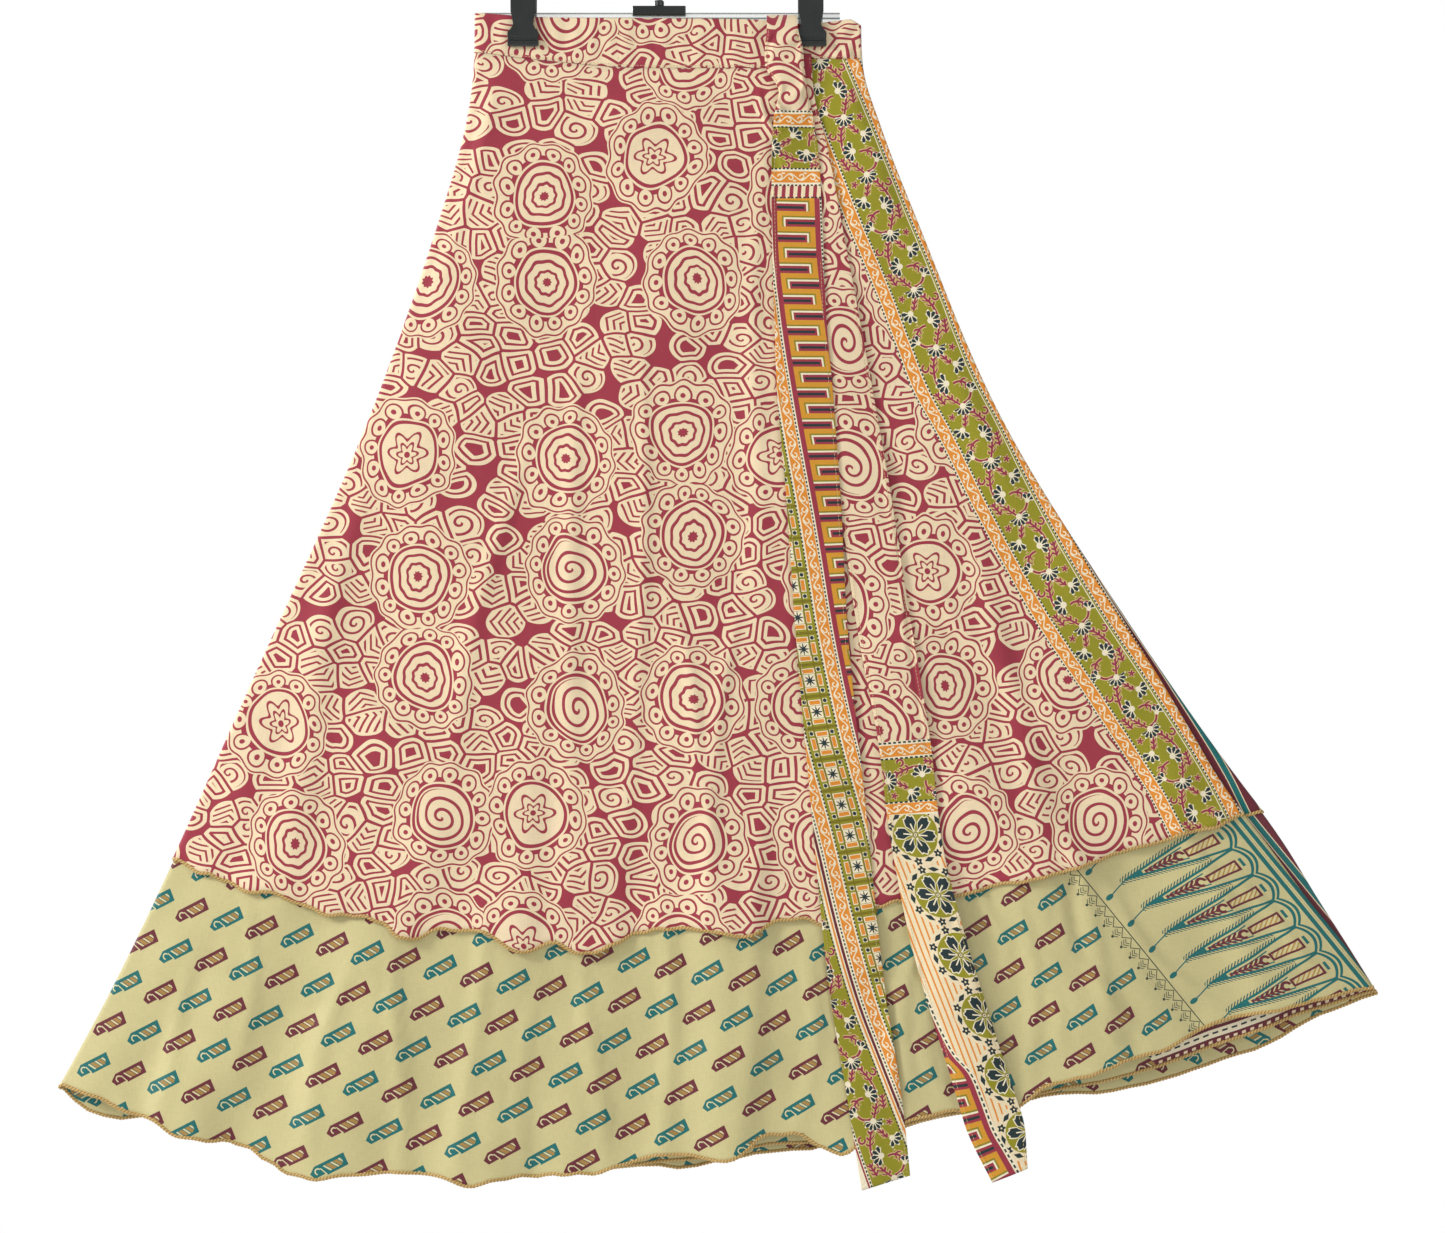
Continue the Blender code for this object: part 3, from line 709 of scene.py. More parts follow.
def band_pucker(u, drop, down, place):
    """Fine and broad ripples along the strip, plus crumples and a fold at its right end."""
    pucker = FINE_PUCKER * np.sin(u * 420) * np.sin(math.pi * down)
    pucker += BROAD_PUCKER * np.sin(u * 190 + 2 * down)
    end = ramp(0.90, 0.97, place) * (1 - ramp(0.995, 1.0, place))
    up = drop / BAND_HEIGHT
    pucker += END_CRUMPLE * end * np.sin(u * 330 + 9 * up) * np.sin(6.5 * up + 40 * u)
    return pucker + END_FOLD * end * hill(down - 0.90, 0.09) * (1.3 + np.sin(u * 520))


band_columns = wrap_columns(150, 60, 30, 8)
band_place, band_under = band_columns["place"], band_columns["to_under"]
band_rows = np.linspace(0, 1, 22)[:, None]
band_seam = read(WAIST, "seam", band_place) - SEAM_GAP
band_top = read(WAIST, "top", band_place)
band_drop = band_top + (band_seam - band_top) * band_rows
band_points = wrap_points(band_columns, band_drop, band_drop * 0, "waistband", plain=True)
band_u = unrolled(band_columns, band_points, band_drop)
outward = np.clip(1 - 2 * band_columns["to_back"] + band_under, -1, 1)
band_points[..., 1] -= band_pucker(band_u, band_drop, band_rows, band_place) * outward * (1 - band_under)
band_maps = {"cloth": np.stack([band_u, band_points[..., 2]], -1)}
waistband_cloth = surface("waistband_cloth", band_points, band_maps, BAND_THICKNESS)

# %% [markdown]
# ## The ties
# Each tie is a strip of patchwork folded double, so its edges are round folds and not cut edges.
# The cross-section is a flat closed ring, carried down the skirt's front. The tables give a tie's
# middle, its width and how far it stands proud of the front at each drop under the waist seam.

# %% Lines of the ties
LONG_TIE = table(
    "drop centre width proud",
    [
        (-0.032, 0.1035, 0.026, 0.0063),
        (-0.025, 0.1040, 0.028, 0.0063),
        (-0.014, 0.1050, 0.032, 0.0061),
        (0.000, 0.1055, 0.033, 0.0052),
        (0.022, 0.1125, 0.024, 0.0032),
        (0.040, 0.1130, 0.032, 0.0026),
        (0.080, 0.1145, 0.040, 0.0024),
        (0.218, 0.1190, 0.044, 0.0024),
        (0.280, 0.1230, 0.047, 0.0024),
        (0.360, 0.1295, 0.046, 0.0024),
        (0.480, 0.1370, 0.044, 0.0020),
        (0.610, 0.1495, 0.046, 0.0005),
        (0.780, 0.1670, 0.047, 0.0005),
        (0.860, 0.1800, 0.046, 0.0005),
        (0.937, 0.1905, 0.041, 0.0005),
    ],
)
SHORT_TIE = table(
    "drop centre width proud",
    [
        (-0.010, 0.1150, 0.026, 0.0005),
        (0.025, 0.1165, 0.028, 0.0005),
        (0.065, 0.1225, 0.036, 0.0005),
        (0.118, 0.1300, 0.042, 0.0005),
        (0.218, 0.1480, 0.043, 0.0005),
        (0.340, 0.1690, 0.045, 0.0005),
        (0.480, 0.1905, 0.046, 0.0005),
        (0.566, 0.2055, 0.044, 0.0005),
        (0.655, 0.2165, 0.043, 0.0012),
        (0.735, 0.2345, 0.047, 0.0016),
        (0.807, 0.2560, 0.049, 0.0012),
        (0.880, 0.2790, 0.049, 0.0016),
        (0.930, 0.2940, 0.030, 0.0016),
    ],
)


# %% Where the ties lie
def front_face(x, drop):
    """Depth of the skirt's front: the outer layer's above its hem, the inner layer's below."""
    fold_left, _, free_edge = edges_at(drop)
    place = np.clip((x - fold_left) / (free_edge - fold_left), 0, 1)
    seam = read(WAIST, "seam", place)
    outer_hem, inner_hem = hem_drops(place, 0 * place, 0 * place)
    share = np.clip((drop - seam) / (inner_hem - seam), 0, 1)
    z = WAIST_SEAM_Z - drop
    on_outer = DEPTHS["outer_layer"][0] - front_relief(x, z, place, share, True)
    on_inner = DEPTHS["inner_layer"][0] - front_relief(x, z, place, share, False)
    below = ramp(0.012, 0.060, drop - outer_hem)
    return on_outer + (on_inner - on_outer) * below - WALL / 2


print("front's depth at two drops:", front_face(np.array([0.12, 0.15]), np.array([0.2, 0.6])).round(4))


# %% Cross-sections of the ties
TIE_WALL = 0.0012
TIE_FLAP_Y = -0.0075
TIE_END_SLANT = 0.006
TIE_RING = 44
FLAP_ROWS, FLAP_ROW_STEP = 7, 0.003
EDGE_ROUNDNESS = 0.30
NEARBY = (-0.010, 0.0, 0.010)
BAND_CLEARANCE = 0.002
PLEAT_DEPTH = 0.0024


def flat_ring():
    """Across and out, each a half times the sign and a low power of the cosine or the sine."""
    angle = np.linspace(0, FULL_TURN, TIE_RING + 1)
    half = [np.sign(wave) * np.abs(wave) ** EDGE_ROUNDNESS / 2 for wave in (np.cos(angle), np.sin(angle))]
    return half[0], half[1]


def tie_pleats(across, out, drop, top):
    """Small crossing pleats of the front face, from the tie's top down to 105 mm under it."""
    gathered = ramp(0.0, 0.012, drop - top) * (1 - ramp(0.055, 0.105, drop - top))
    waves = np.sin(across * 21 + drop * 190 + 0.8 * np.sin(drop * 300))
    pleats = 1 + waves * np.cos(drop * 95 + across * 4)
    return PLEAT_DEPTH * pleats * gathered * (out > -0.2) * (1 - (2 * across) ** 4)


# %% Grid of a tie
def tie_grid(rows, count, flap=False):
    """Ring of points (across, out) at each drop, laid on what of the skirt nearby stands out most.

    With a flap, more rows at the top carry it back over the waistband.
    """
    share = np.linspace(0, 1, count)
    drops = rows["drop"][0] + (rows["drop"][-1] - rows["drop"][0]) * share
    centre, width, proud = (read(rows, name, drops) for name in ("centre", "width", "proud"))
    across, out = flat_ring()
    x = centre[:, None] + (width[:, None] - TIE_WALL * 0.2) * across
    slant = TIE_END_SLANT * ramp(0.9, 1.0, share)
    drop = drops[:, None] - slant[:, None] * across * 2
    face = np.min([front_face(x + dx, drop + dz) for dx in NEARBY for dz in NEARBY], axis=0)
    y = face - proud[:, None] - TIE_WALL / 2 - out * TIE_WALL
    if flap:
        y = y - tie_pleats(across, out, drop, drops[0])
    points = np.stack([x, y, WAIST_SEAM_Z - drop], -1)
    extra = FLAP_ROWS if flap else 0
    if flap:
        back = points[:1].repeat(FLAP_ROWS, axis=0)
        bend = np.linspace(0, 1, FLAP_ROWS)[:, None]
        back[..., 1] = TIE_FLAP_Y + (DEPTHS["waistband"][0] - BAND_CLEARANCE - TIE_FLAP_Y) * bend
        back[..., 2] = BAND_TOP_Z + SEAM_GAP + TIE_WALL * (0.5 + out)
        points = np.concatenate([back, points])
    wide = np.concatenate([width[:1].repeat(extra), width])
    down = np.concatenate([drops[0] - FLAP_ROW_STEP * np.arange(extra, 0, -1), drops])
    uv = np.stack([across * wide[:, None], down[:, None] + 0 * across], -1)
    return points, uv


# %% Closed tubes
def closed_tube(name, points, uv_maps):
    """The grid with a row of points drawn to the middle at each end, welded, with faces outwards."""
    half_way = points.shape[1] // 2
    top, low = ((points[row, 0] + points[row, half_way]) / 2 for row in (0, -1))
    points = np.concatenate([0 * points[:1] + top, points, 0 * points[:1] + low])
    capped = {key: np.concatenate([uv[:1], uv, uv[-1:]]) for key, uv in uv_maps.items()}
    piece = surface(name, points, capped, thickness=0)
    weld(piece)
    return piece


# %% Drift of the printed bands
# The bands on each tie are cut on a slant: how far each has drifted to the right at a drop.
LONG_DRIFT = table(
    "drop drift",
    [
        (0.1146, -0.0492),
        (0.1510, -0.0490),
        (0.2024, -0.0455),
        (0.2810, -0.0383),
        (0.3400, -0.0325),
        (0.4120, -0.0245),
        (0.4909, -0.0164),
        (0.5699, -0.0063),
        (0.6472, 0.0076),
        (0.7261, 0.0193),
        (0.7925, 0.0311),
        (0.8269, 0.0386),
        (0.8950, 0.0538),
        (0.9454, 0.0647),
    ],
)
SHORT_DRIFT = table(
    "drop drift",
    [
        (0.6488, 0.0000),
        (0.6942, 0.0088),
        (0.7500, 0.0158),
        (0.7984, 0.0202),
        (0.8496, 0.0235),
        (0.9000, 0.0250),
    ],
)
FOLD_DRIFT = table(
    "drop drift",
    [
        (0.7564, -0.0286),
        (0.7765, -0.0252),
        (0.8126, -0.0202),
        (0.8294, -0.0160),
        (0.8437, -0.0076),
        (0.8656, -0.0047),
        (0.8933, -0.0025),
        (0.9092, 0.0017),
        (0.9310, 0.0067),
    ],
)
LEAN = table("drop lean", [(0.10, -0.03), (0.35, 0.02), (0.50, 0.09), (0.60, 0.14), (0.95, 0.16)])


def drifted(uv, drift):
    """Distance across less the drift at that drop, and the drop turned by the bands' lean."""
    across, down = uv[..., 0], uv[..., 1]
    return np.stack([across - read(drift, "drift", down), down + read(LEAN, "lean", down) * across], -1)


# %% Ties
long_points, long_uv = tie_grid(LONG_TIE, 420, flap=True)
short_points, short_uv = tie_grid(SHORT_TIE, 400)
long_maps = {"tie": long_uv, "bands": drifted(long_uv, LONG_DRIFT)}
short_maps = {"tie": short_uv, "bands": drifted(short_uv, SHORT_DRIFT)}
short_maps["fold"] = drifted(short_uv, FOLD_DRIFT)
tie_long_cloth = closed_tube("tie_long_cloth", long_points, long_maps)
tie_short_cloth = closed_tube("tie_short_cloth", short_points, short_maps)

# %% [markdown]
# ## Overlocked edges
# Both hems are overlocked, and the free front edges are the cloth's own. In an overlocked edge
# three threads loop round the cut and make a narrow ridged roll. Here it is a tube along the edge.
# Its oval section ripples, and the ripple runs slantwise round it as the loops do.


# %% Overlock rolls
def spots(places, known, points):
    """Points at the places, each coordinate in a straight line between the known ones."""
    return np.stack([np.interp(places, known, points[:, k]) for k in range(3)], -1)


def along_path(path, pitch):
    """Points at even steps of length along a path, and those lengths."""
    length = np.concatenate([[0], np.cumsum(np.linalg.norm(np.diff(path, axis=0), axis=1))])
    at = np.linspace(0, length[-1], max(2, int(length[-1] / pitch)))
    return spots(at, length, path), at


def unit(v):
    """A vector, or each of an array of them, over its length."""
    return v / np.linalg.norm(v, axis=-1, keepdims=True)


LOOP = 0.0029
ROLL_STEP = 0.00058
ROLL_TALL, ROLL_THICK, ROLL_LIFT = 0.0015, 0.0009, 0.0007


def roll(name, edge, inside):
    """Centre plus oval of half sizes 1.5 and 0.9 mm, times 1 + ripple(length / loop + angle)."""
    path, at = along_path(edge, ROLL_STEP)
    within, _ = along_path(inside, ROLL_STEP)
    within = spots(np.linspace(0, 1, len(path)), np.linspace(0, 1, len(within)), within)
    forward = unit(np.gradient(path, axis=0))
    up = within - path
    up = unit(up - forward * (up * forward).sum(-1, keepdims=True))
    out = np.cross(forward, up)
    angle = np.linspace(0, FULL_TURN, 9)
    ripple = 1 + 0.20 * np.sin(FULL_TURN * at[:, None] / LOOP + 2 * angle)
    tall = (ROLL_TALL * np.cos(angle) * ripple)[..., None]
    thick = (ROLL_THICK * np.sin(angle) * ripple)[..., None]
    points = path[:, None] + up[:, None] * (ROLL_LIFT + tall) + out[:, None] * thick
    uv = np.stack([at[:, None] + 0 * angle, 0.001 * angle + 0 * at[:, None]], -1)
    return closed_tube(name, points, {"thread": uv})


outer_roll = roll("outer_hem_overlock", outer_points[-1], outer_points[-2])
inner_roll = roll("inner_hem_overlock", inner_points[-1], inner_points[-2])

# %% [markdown]
# ## Topstitching
# Both ties were closed with a row of stitches just inside each long edge, and the waistband is
# stitched down along its seam. Each stitch is a short bead of thread that lies on the cloth.


# %% Stitches
TO_VIEWER = np.array([0, -1, 0])
STITCH_REACH = 0.36
STITCH_HALF_WIDTH, STITCH_HALF_HEIGHT = 0.00022, 0.00016


def stitches(name, path, pitch):
    """One bead per pitch: rings of six points whose radius shrinks at both ends."""
    centre, _ = along_path(path, pitch)
    forward = unit(np.gradient(centre, axis=0))
    side = unit(np.cross(forward, TO_VIEWER))
    away = np.cross(side, forward)
    station = np.array([-1.0, -0.75, 0.75, 1.0]) * pitch * STITCH_REACH
    radius = np.array([0.05, 1.0, 1.0, 0.05])
    angle = np.linspace(0, FULL_TURN, 7)[:-1]
    wide = STITCH_HALF_WIDTH * radius[:, None] * np.cos(angle)
    high = STITCH_HALF_HEIGHT * radius[:, None] * np.sin(angle)
    points = centre[:, None, None] + station[:, None, None] * forward[:, None, None]
    points = points + wide[..., None] * side[:, None, None] + high[..., None] * away[:, None, None]
    count, rings, ring = len(centre), len(station), len(angle)
    corner = np.arange(count * rings * ring).reshape(count, rings, ring)
    turn = np.roll(corner, -1, axis=2)
    quads = np.stack([corner[:, :-1], turn[:, :-1], turn[:, 1:], corner[:, 1:]], -1).reshape(-1, 4)
    mesh = bpy.data.meshes.new(name)
    caps = np.concatenate([corner[:, 0, ::-1], corner[:, -1]]).tolist()
    mesh.from_pydata(points.reshape(-1, 3).tolist(), [], quads.tolist() + caps)
    mesh.update()
    piece = placed(name, mesh)
    weld(piece)
    print(f"{name}: {count} stitches")
    return piece


# %% Rows of stitches
TIE_STITCH, SEAM_STITCH = 0.0032, 0.0030
ABOVE_TIE, ABOVE_BAND = 0.0001, 0.0012
# Left and right are the wearer's.
EDGE_SHARES = {"left": 0.06, "right": 0.94}


def tie_stitches(tie, points):
    """Rows down the tie's front face, at shares of the way from its +x edge to its -x edge."""
    made = []
    for side, share in EDGE_SHARES.items():
        line = points[:, 0] + (points[:, TIE_RING // 2] - points[:, 0]) * share
        line[:, 1] = points[:, TIE_RING // 4, 1] - ABOVE_TIE
        made.append(stitches(f"{tie}_tie_stitches_{side}", line, TIE_STITCH))
    return made


long_stitches = tie_stitches("long", long_points[FLAP_ROWS + 2 : -2])
short_stitches = tie_stitches("short", short_points[2:-2])
seam_line = band_points[-2, 2:150] + TO_VIEWER * ABOVE_BAND
band_stitches = stitches("waist_seam_stitches", seam_line, SEAM_STITCH)

# %% [markdown]
# ## Arithmetic on shader values
# A print is a rule that says which ink lies at each place on the cloth. Blender's Math nodes can
# work such a rule out, but a print needs dozens of them. A `Field` stands for one value that varies
# over the cloth, and plain Python arithmetic on fields adds the nodes. All prints are in
# millimetres.


# %% Fields
def feed(slot, value):
    """Link a field or a socket to the slot, or set the slot to a plain value."""
    if isinstance(value, Field):
        value = value.socket
    if isinstance(value, bpy.types.NodeSocket):
        Field.tree.links.new(value, slot)
    else:
        slot.default_value = value


def node(kind, inputs, **settings):
    """One node with its settings, and its inputs by place or by name."""
    made = Field.tree.nodes.new("ShaderNode" + kind)
    for setting, value in settings.items():
        setattr(made, setting, value)
    for slot, value in inputs.items():
        feed(made.inputs[slot], value)
    return made


def calc(operation, *values):
    """One Math node on fields or numbers."""
    return Field(node("Math", dict(enumerate(values)), operation=operation).outputs[0])


class Field:
    """A value worked out at each point of a surface, by nodes of the material in hand."""

    tree = None
    material = None

    def __init__(self, socket):
        self.socket = socket

    def __add__(self, other):
        return calc("ADD", self, other)

    def __radd__(self, other):
        return calc("ADD", other, self)

    def __sub__(self, other):
        return calc("SUBTRACT", self, other)

    def __rsub__(self, other):
        return calc("SUBTRACT", other, self)

    def __mul__(self, other):
        return calc("MULTIPLY", self, other)

    def __rmul__(self, other):
        return calc("MULTIPLY", other, self)

    def __truediv__(self, other):
        return calc("DIVIDE", self, other)

    def __lt__(self, other):
        return calc("LESS_THAN", self, other)

    def __gt__(self, other):
        return calc("GREATER_THAN", self, other)

    def __abs__(self):
        return calc("ABSOLUTE", self)


# %% Masks, waves and angles
def near(value, centre, half):
    """1 where the value is within half of the centre."""
    return calc("COMPARE", value, centre, half)


def wrap(value, period):
    """The value less the nearest whole number of periods."""
    return calc("WRAP", value, period / 2, -period / 2)


def any_of(*masks):
    """1 where any mask is 1."""
    first, *rest = masks
    for mask in rest:
        first = calc("MAXIMUM", first, mask)
    return first


def sine(angle):
    """Sine of an angle in radians."""
    return calc("SINE", angle)


def cosine(angle):
    """Cosine of an angle in radians."""
    return calc("COSINE", angle)


def vector(x, y, z=0.0):
    """Three fields or numbers as one vector."""
    return node("CombineXYZ", {0: x, 1: y, 2: z}).outputs[0]


def polar(x, y):
    """Distance from the origin and angle about it."""
    length = node("VectorMath", {0: vector(x, y)}, operation="LENGTH")
    return Field(length.outputs["Value"]), calc("ARCTAN2", y, x)


def turned(x, y, angle):
    """Coordinates along and across a direction at the angle, in radians."""
    c, s = math.cos(angle), math.sin(angle)
    return x * c + y * s, y * c - x * s


# %% Noise and cells
def noise(x, y, size, detail=1.0, z=0.0):
    """Soft noise about 0.5 whose lumps are about the given size."""
    made = node("TexNoise", {"Vector": vector(x / size, y / size, z), "Scale": 1.0, "Detail": detail})
    return Field(made.outputs[0])


def cells(x, y, size, randomness, feature="F1"):
    """Voronoi cells of about the given size."""
    place = vector(x / size, y / size)
    settings = {"voronoi_dimensions": "2D", "feature": feature}
    return node("TexVoronoi", {"Vector": place, "Scale": 1.0, "Randomness": randomness}, **settings)


def parts(socket, kind="SeparateXYZ"):
    """The three numbers of a vector or, with SeparateColor, of a colour."""
    return [Field(output) for output in node(kind, {0: socket}).outputs]


# %% Inks
def ink(red, green, blue):
    """Linear colour from screen values of 0 to 255."""
    low = [v / 255 for v in (red, green, blue)]
    return tuple(v / 12.92 if v < 0.04 else ((v + 0.055) / 1.055) ** 2.4 for v in low) + (1.0,)


def over(mask, top, below):
    """The top colour where the mask is 1, and the one below elsewhere."""
    made = node("Mix", {}, data_type="RGBA")
    for slot, value in zip((made.inputs[0], made.inputs[6], made.inputs[7]), (mask, below, top)):
        feed(slot, value)
    return made.outputs[2]


BEIGE = ink(235, 213, 176)
MAROON = ink(156, 50, 66)
OLIVE = ink(150, 144, 28)
DARK_OLIVE = ink(120, 108, 14)
ORANGE = ink(228, 142, 44)
CREAM = ink(243, 231, 200)
NIGHT = ink(30, 48, 50)
WINE = ink(150, 46, 74)
GOLD = ink(214, 150, 42)
TEAL = ink(12, 106, 104)
PLUM = ink(104, 34, 46)
SAND = ink(206, 195, 140)
THREAD_GOLD = ink(186, 144, 72)
STRAW = ink(216, 190, 126)
PALE_SAND = ink(216, 207, 160)
BOX_SAND = ink(214, 202, 148)
OCHRE = ink(168, 132, 68)
DULL_GOLD = ink(168, 152, 104)
DEEP_TEAL = ink(44, 92, 88)
GREY_GREEN = ink(52, 66, 52)
KEY_OLIVE = ink(140, 130, 26)
TIE_GROUND = ink(240, 222, 184)
print("beige as linear colour:", np.round(BEIGE, 3))

# %% [markdown]
# ## The print of the outer layer
# A generic print in two colours: big round flowers with rings and a crown of drops, and between
# them pebbles that hold smaller outlines, snails or bars. It keeps one stroke width throughout,
# as a print from one carved block does.


# %% Pebbles
PEBBLE = 26.0
SNAIL_PITCH, BAR_PITCH = 6.6, 6.4


def nested(edge):
    """Outline, gap, inner outline, gap and kernel, from the distance in from a shape's edge."""
    return any_of(edge < 0.0, near(edge, 4.2, 1.05), edge > 8.2)


def pebbles(x, y):
    """Pebbles cut from cells about 26 mm wide. Returns 1 where they are inked."""
    wide, tall = x * 0.92 + y * 0.28, y * 1.12 - x * 0.2
    rim = Field(cells(wide, tall, PEBBLE, 0.75, "DISTANCE_TO_EDGE").outputs["Distance"]) * PEBBLE
    cell = cells(wide, tall, PEBBLE, 0.75)
    from_kernel = Field(cell.outputs["Distance"]) * PEBBLE
    pick, turn, _ = parts(cell.outputs["Color"], "SeparateColor")
    edge = calc("MINIMUM", rim - 1.15, 16.0 - from_kernel)
    at_x, at_y, _ = parts(cell.outputs["Position"])
    across, up = wide - at_x * PEBBLE, tall - at_y * PEBBLE
    _, angle = polar(across, up)
    snail = near(wrap(from_kernel + angle * (SNAIL_PITCH / FULL_TURN), SNAIL_PITCH), 0.0, 1.05)
    lean = turn * FULL_TURN
    slant = across * cosine(lean) + up * sine(lean)
    side = up * cosine(lean) - across * sine(lean)
    bars = near(wrap(slant + abs(side) * 0.7, BAR_PITCH), 0.0, 1.15)
    filled = (edge > 2.2) * any_of(snail * (pick < 0.3), bars * (pick > 0.72))
    return any_of(edge < 0.0, filled, nested(edge) * near(pick, 0.51, 0.21))


# %% Flowers
FLOWER_STEP = 110.0
SWAY = 16.0
COIL_PITCH, RING_PITCH = 9.0, 8.2
CORE_EDGE, CORE_RIM = 23.6, 26.4
CROWN_DROPS, CROWN_MIDDLE = 12, 34.6
HEAD_EDGE = 43.4


def flower_core(radius, angle, pick):
    """Rings, a coil or a flower with six petals, by the cell's pick."""
    lobes = cosine(angle * 6.0)
    ring = radius - cosine(angle * 9.0) * 0.5
    rings = any_of(ring < 4.2, near(wrap(ring - 10.9, RING_PITCH), 0.0, 1.3) * (ring > 8.0))
    coil = near(wrap(radius + angle * (COIL_PITCH / FULL_TURN), COIL_PITCH), 0.0, 1.35)
    tips, heart = near(radius - lobes * 3.6, 14.6, 1.3), near(radius - lobes * 2.0, 7.4, 1.1)
    petals = any_of(tips, heart, radius < 2.6)
    core = rings + (coil - rings) * (pick > 0.72)
    return core + (petals - core) * (pick < 0.34)


def flower_print(x, y):
    """Maroon mask of the whole print."""
    x = x + noise(x, y, 60.0) * SWAY
    y = y + noise(x, y, 45.0, z=7.0) * SWAY
    cell = cells(x, y, FLOWER_STEP, 0.5)
    at_x, at_y, _ = parts(cell.outputs["Position"])
    pick, turn, _ = parts(cell.outputs["Color"], "SeparateColor")
    radius, angle = polar((x - at_x * FLOWER_STEP) * 1.08, y - at_y * FLOWER_STEP)
    turned_angle = angle + turn * FULL_TURN
    core = any_of(flower_core(radius, angle, pick) * (radius < CORE_EDGE), near(radius, CORE_RIM, 1.35))
    along = (radius - CROWN_MIDDLE) / 6.4
    side = wrap(turned_angle, FULL_TURN / CROWN_DROPS) / 0.205
    drop = along * along + side * side
    crown = any_of(near(drop, 0.93, 0.22), drop < 0.09, (drop > 1.1) * (radius < 33.0))
    edge = cosine(turned_angle * float(CROWN_DROPS)) * 1.3 + HEAD_EDGE - radius
    head = any_of(core * (radius < 27.8), crown * near(radius, 35.0, 7.2) * (radius > 29.4))
    return any_of(head * (edge > 0.0), pebbles(x, y) * (edge < -2.6), near(edge, -0.6, 0.7))


def flowered(x, y):
    """The maroon print on its beige ground."""
    return over(flower_print(x, y), MAROON, BEIGE)


# %% [markdown]
# ## The printed flower border
# The border is a common sari border: an olive strip with a winding stem and fan flowers, between
# two narrow strips of orange scrolls with dashed lines. Its repeat is a half turn of the stem, set
# down again and again with its sides exchanged.


# %% Dashes, strips and scrolls
SCROLL_TURN = 9.2


def dashes(along, across, centre, half=0.65, period=3.3):
    """A line of dashes."""
    return near(across, centre, half) * near(wrap(along, period), 0.0, period * 0.3)


def dash_lines(along, across, centres, half=0.65, period=3.3):
    """Lines of dashes at each of the centres."""
    return any_of(*[dashes(along, across, centre, half, period) for centre in centres])


def laid(place, colour, *strips):
    """The colour with strips laid over it in turn: each a middle, a half width and its filling."""
    for middle, half, filling in strips:
        colour = over(near(place, middle, half), filling, colour)
    return colour


def scrolls(along, across, half_width):
    """Orange strip with a running cream scroll: a wave, and a curl in each of its hollows."""
    flip = calc("SIGN", SCROLL_TURN - calc("FLOORED_MODULO", along, 2 * SCROLL_TURN))
    place = wrap(along - SCROLL_TURN / 2, SCROLL_TURN)
    side = across * flip
    wave = cosine(place * (math.pi / SCROLL_TURN)) * (half_width * 0.55)
    radius, angle = polar(place - 0.4, side + half_width * 0.08)
    curl = near(radius, half_width * 0.38, 0.55) * (angle < 1.9)
    leaf = near(place, 3.3, 1.3) * near(side, half_width * -0.66, 0.6)
    return over(any_of(near(side, wave, 0.62), curl, leaf, abs(across) > half_width), CREAM, ORANGE)


# %% Fan flowers
def fan_flower(along, across, size, lean, spread, petals):
    """Cream and dark masks of a flower that opens in the direction lean, in radians."""
    along, across = turned(along, across, lean)
    radius, angle = polar(along, across)
    step = 2 * spread / petals
    petal = wrap(angle + (step / 2 if petals % 2 == 0 else 0.0), step) / step
    tip = cosine(petal * FULL_TURN) * (0.16 * size) + 0.98 * size
    inside = abs(angle) < spread + 0.1
    cream = any_of((radius < tip) * inside, radius < 0.30 * size)
    reach = 0.42 - abs(radius - 0.66 * size) * (0.60 / size)
    dark = near(radius, 0.64 * size, 0.33 * size) * (abs(petal) < reach) * (abs(angle) < spread)
    return cream, dark


# %% The vine
VINE_TURN = 52.0
VINE_SWING = 10.6
LOOP_RADIUS = 9.0
FAN_FLOWERS = table(
    "along out size lean spread petals",
    [
        (0.0, 0.0, 8.2, 0.15, 1.65, 6),
        (VINE_TURN, 0.0, 8.2, 0.15, 1.65, 6),
        (18.6, 10.0, 8.0, 0.75, 1.35, 4),
        (29.6, -3.6, 8.4, -1.75, 1.6, 5),
        (43.5, 12.6, 6.4, 2.4, 1.2, 3),
    ],
)


def twig(along, off, line, rim, drawn, leafy, period=4.8, reach=3.6):
    """Ink and rim masks of a twig: its line where it is drawn, and leaf ticks where it is leafy.

    The line and its rim are half widths, and off is the distance to the twig's middle.
    """
    place = wrap(along + abs(off) * 0.9, period)
    ticks = near(place, 0.0, 0.95) * (abs(off) < reach)
    tick_rims = near(place, 0.0, 1.7) * (abs(off) < reach + 0.7)
    inked = any_of(near(off, 0.0, line) * drawn, ticks * leafy)
    return inked, any_of(near(off, 0.0, rim) * drawn, tick_rims * leafy)


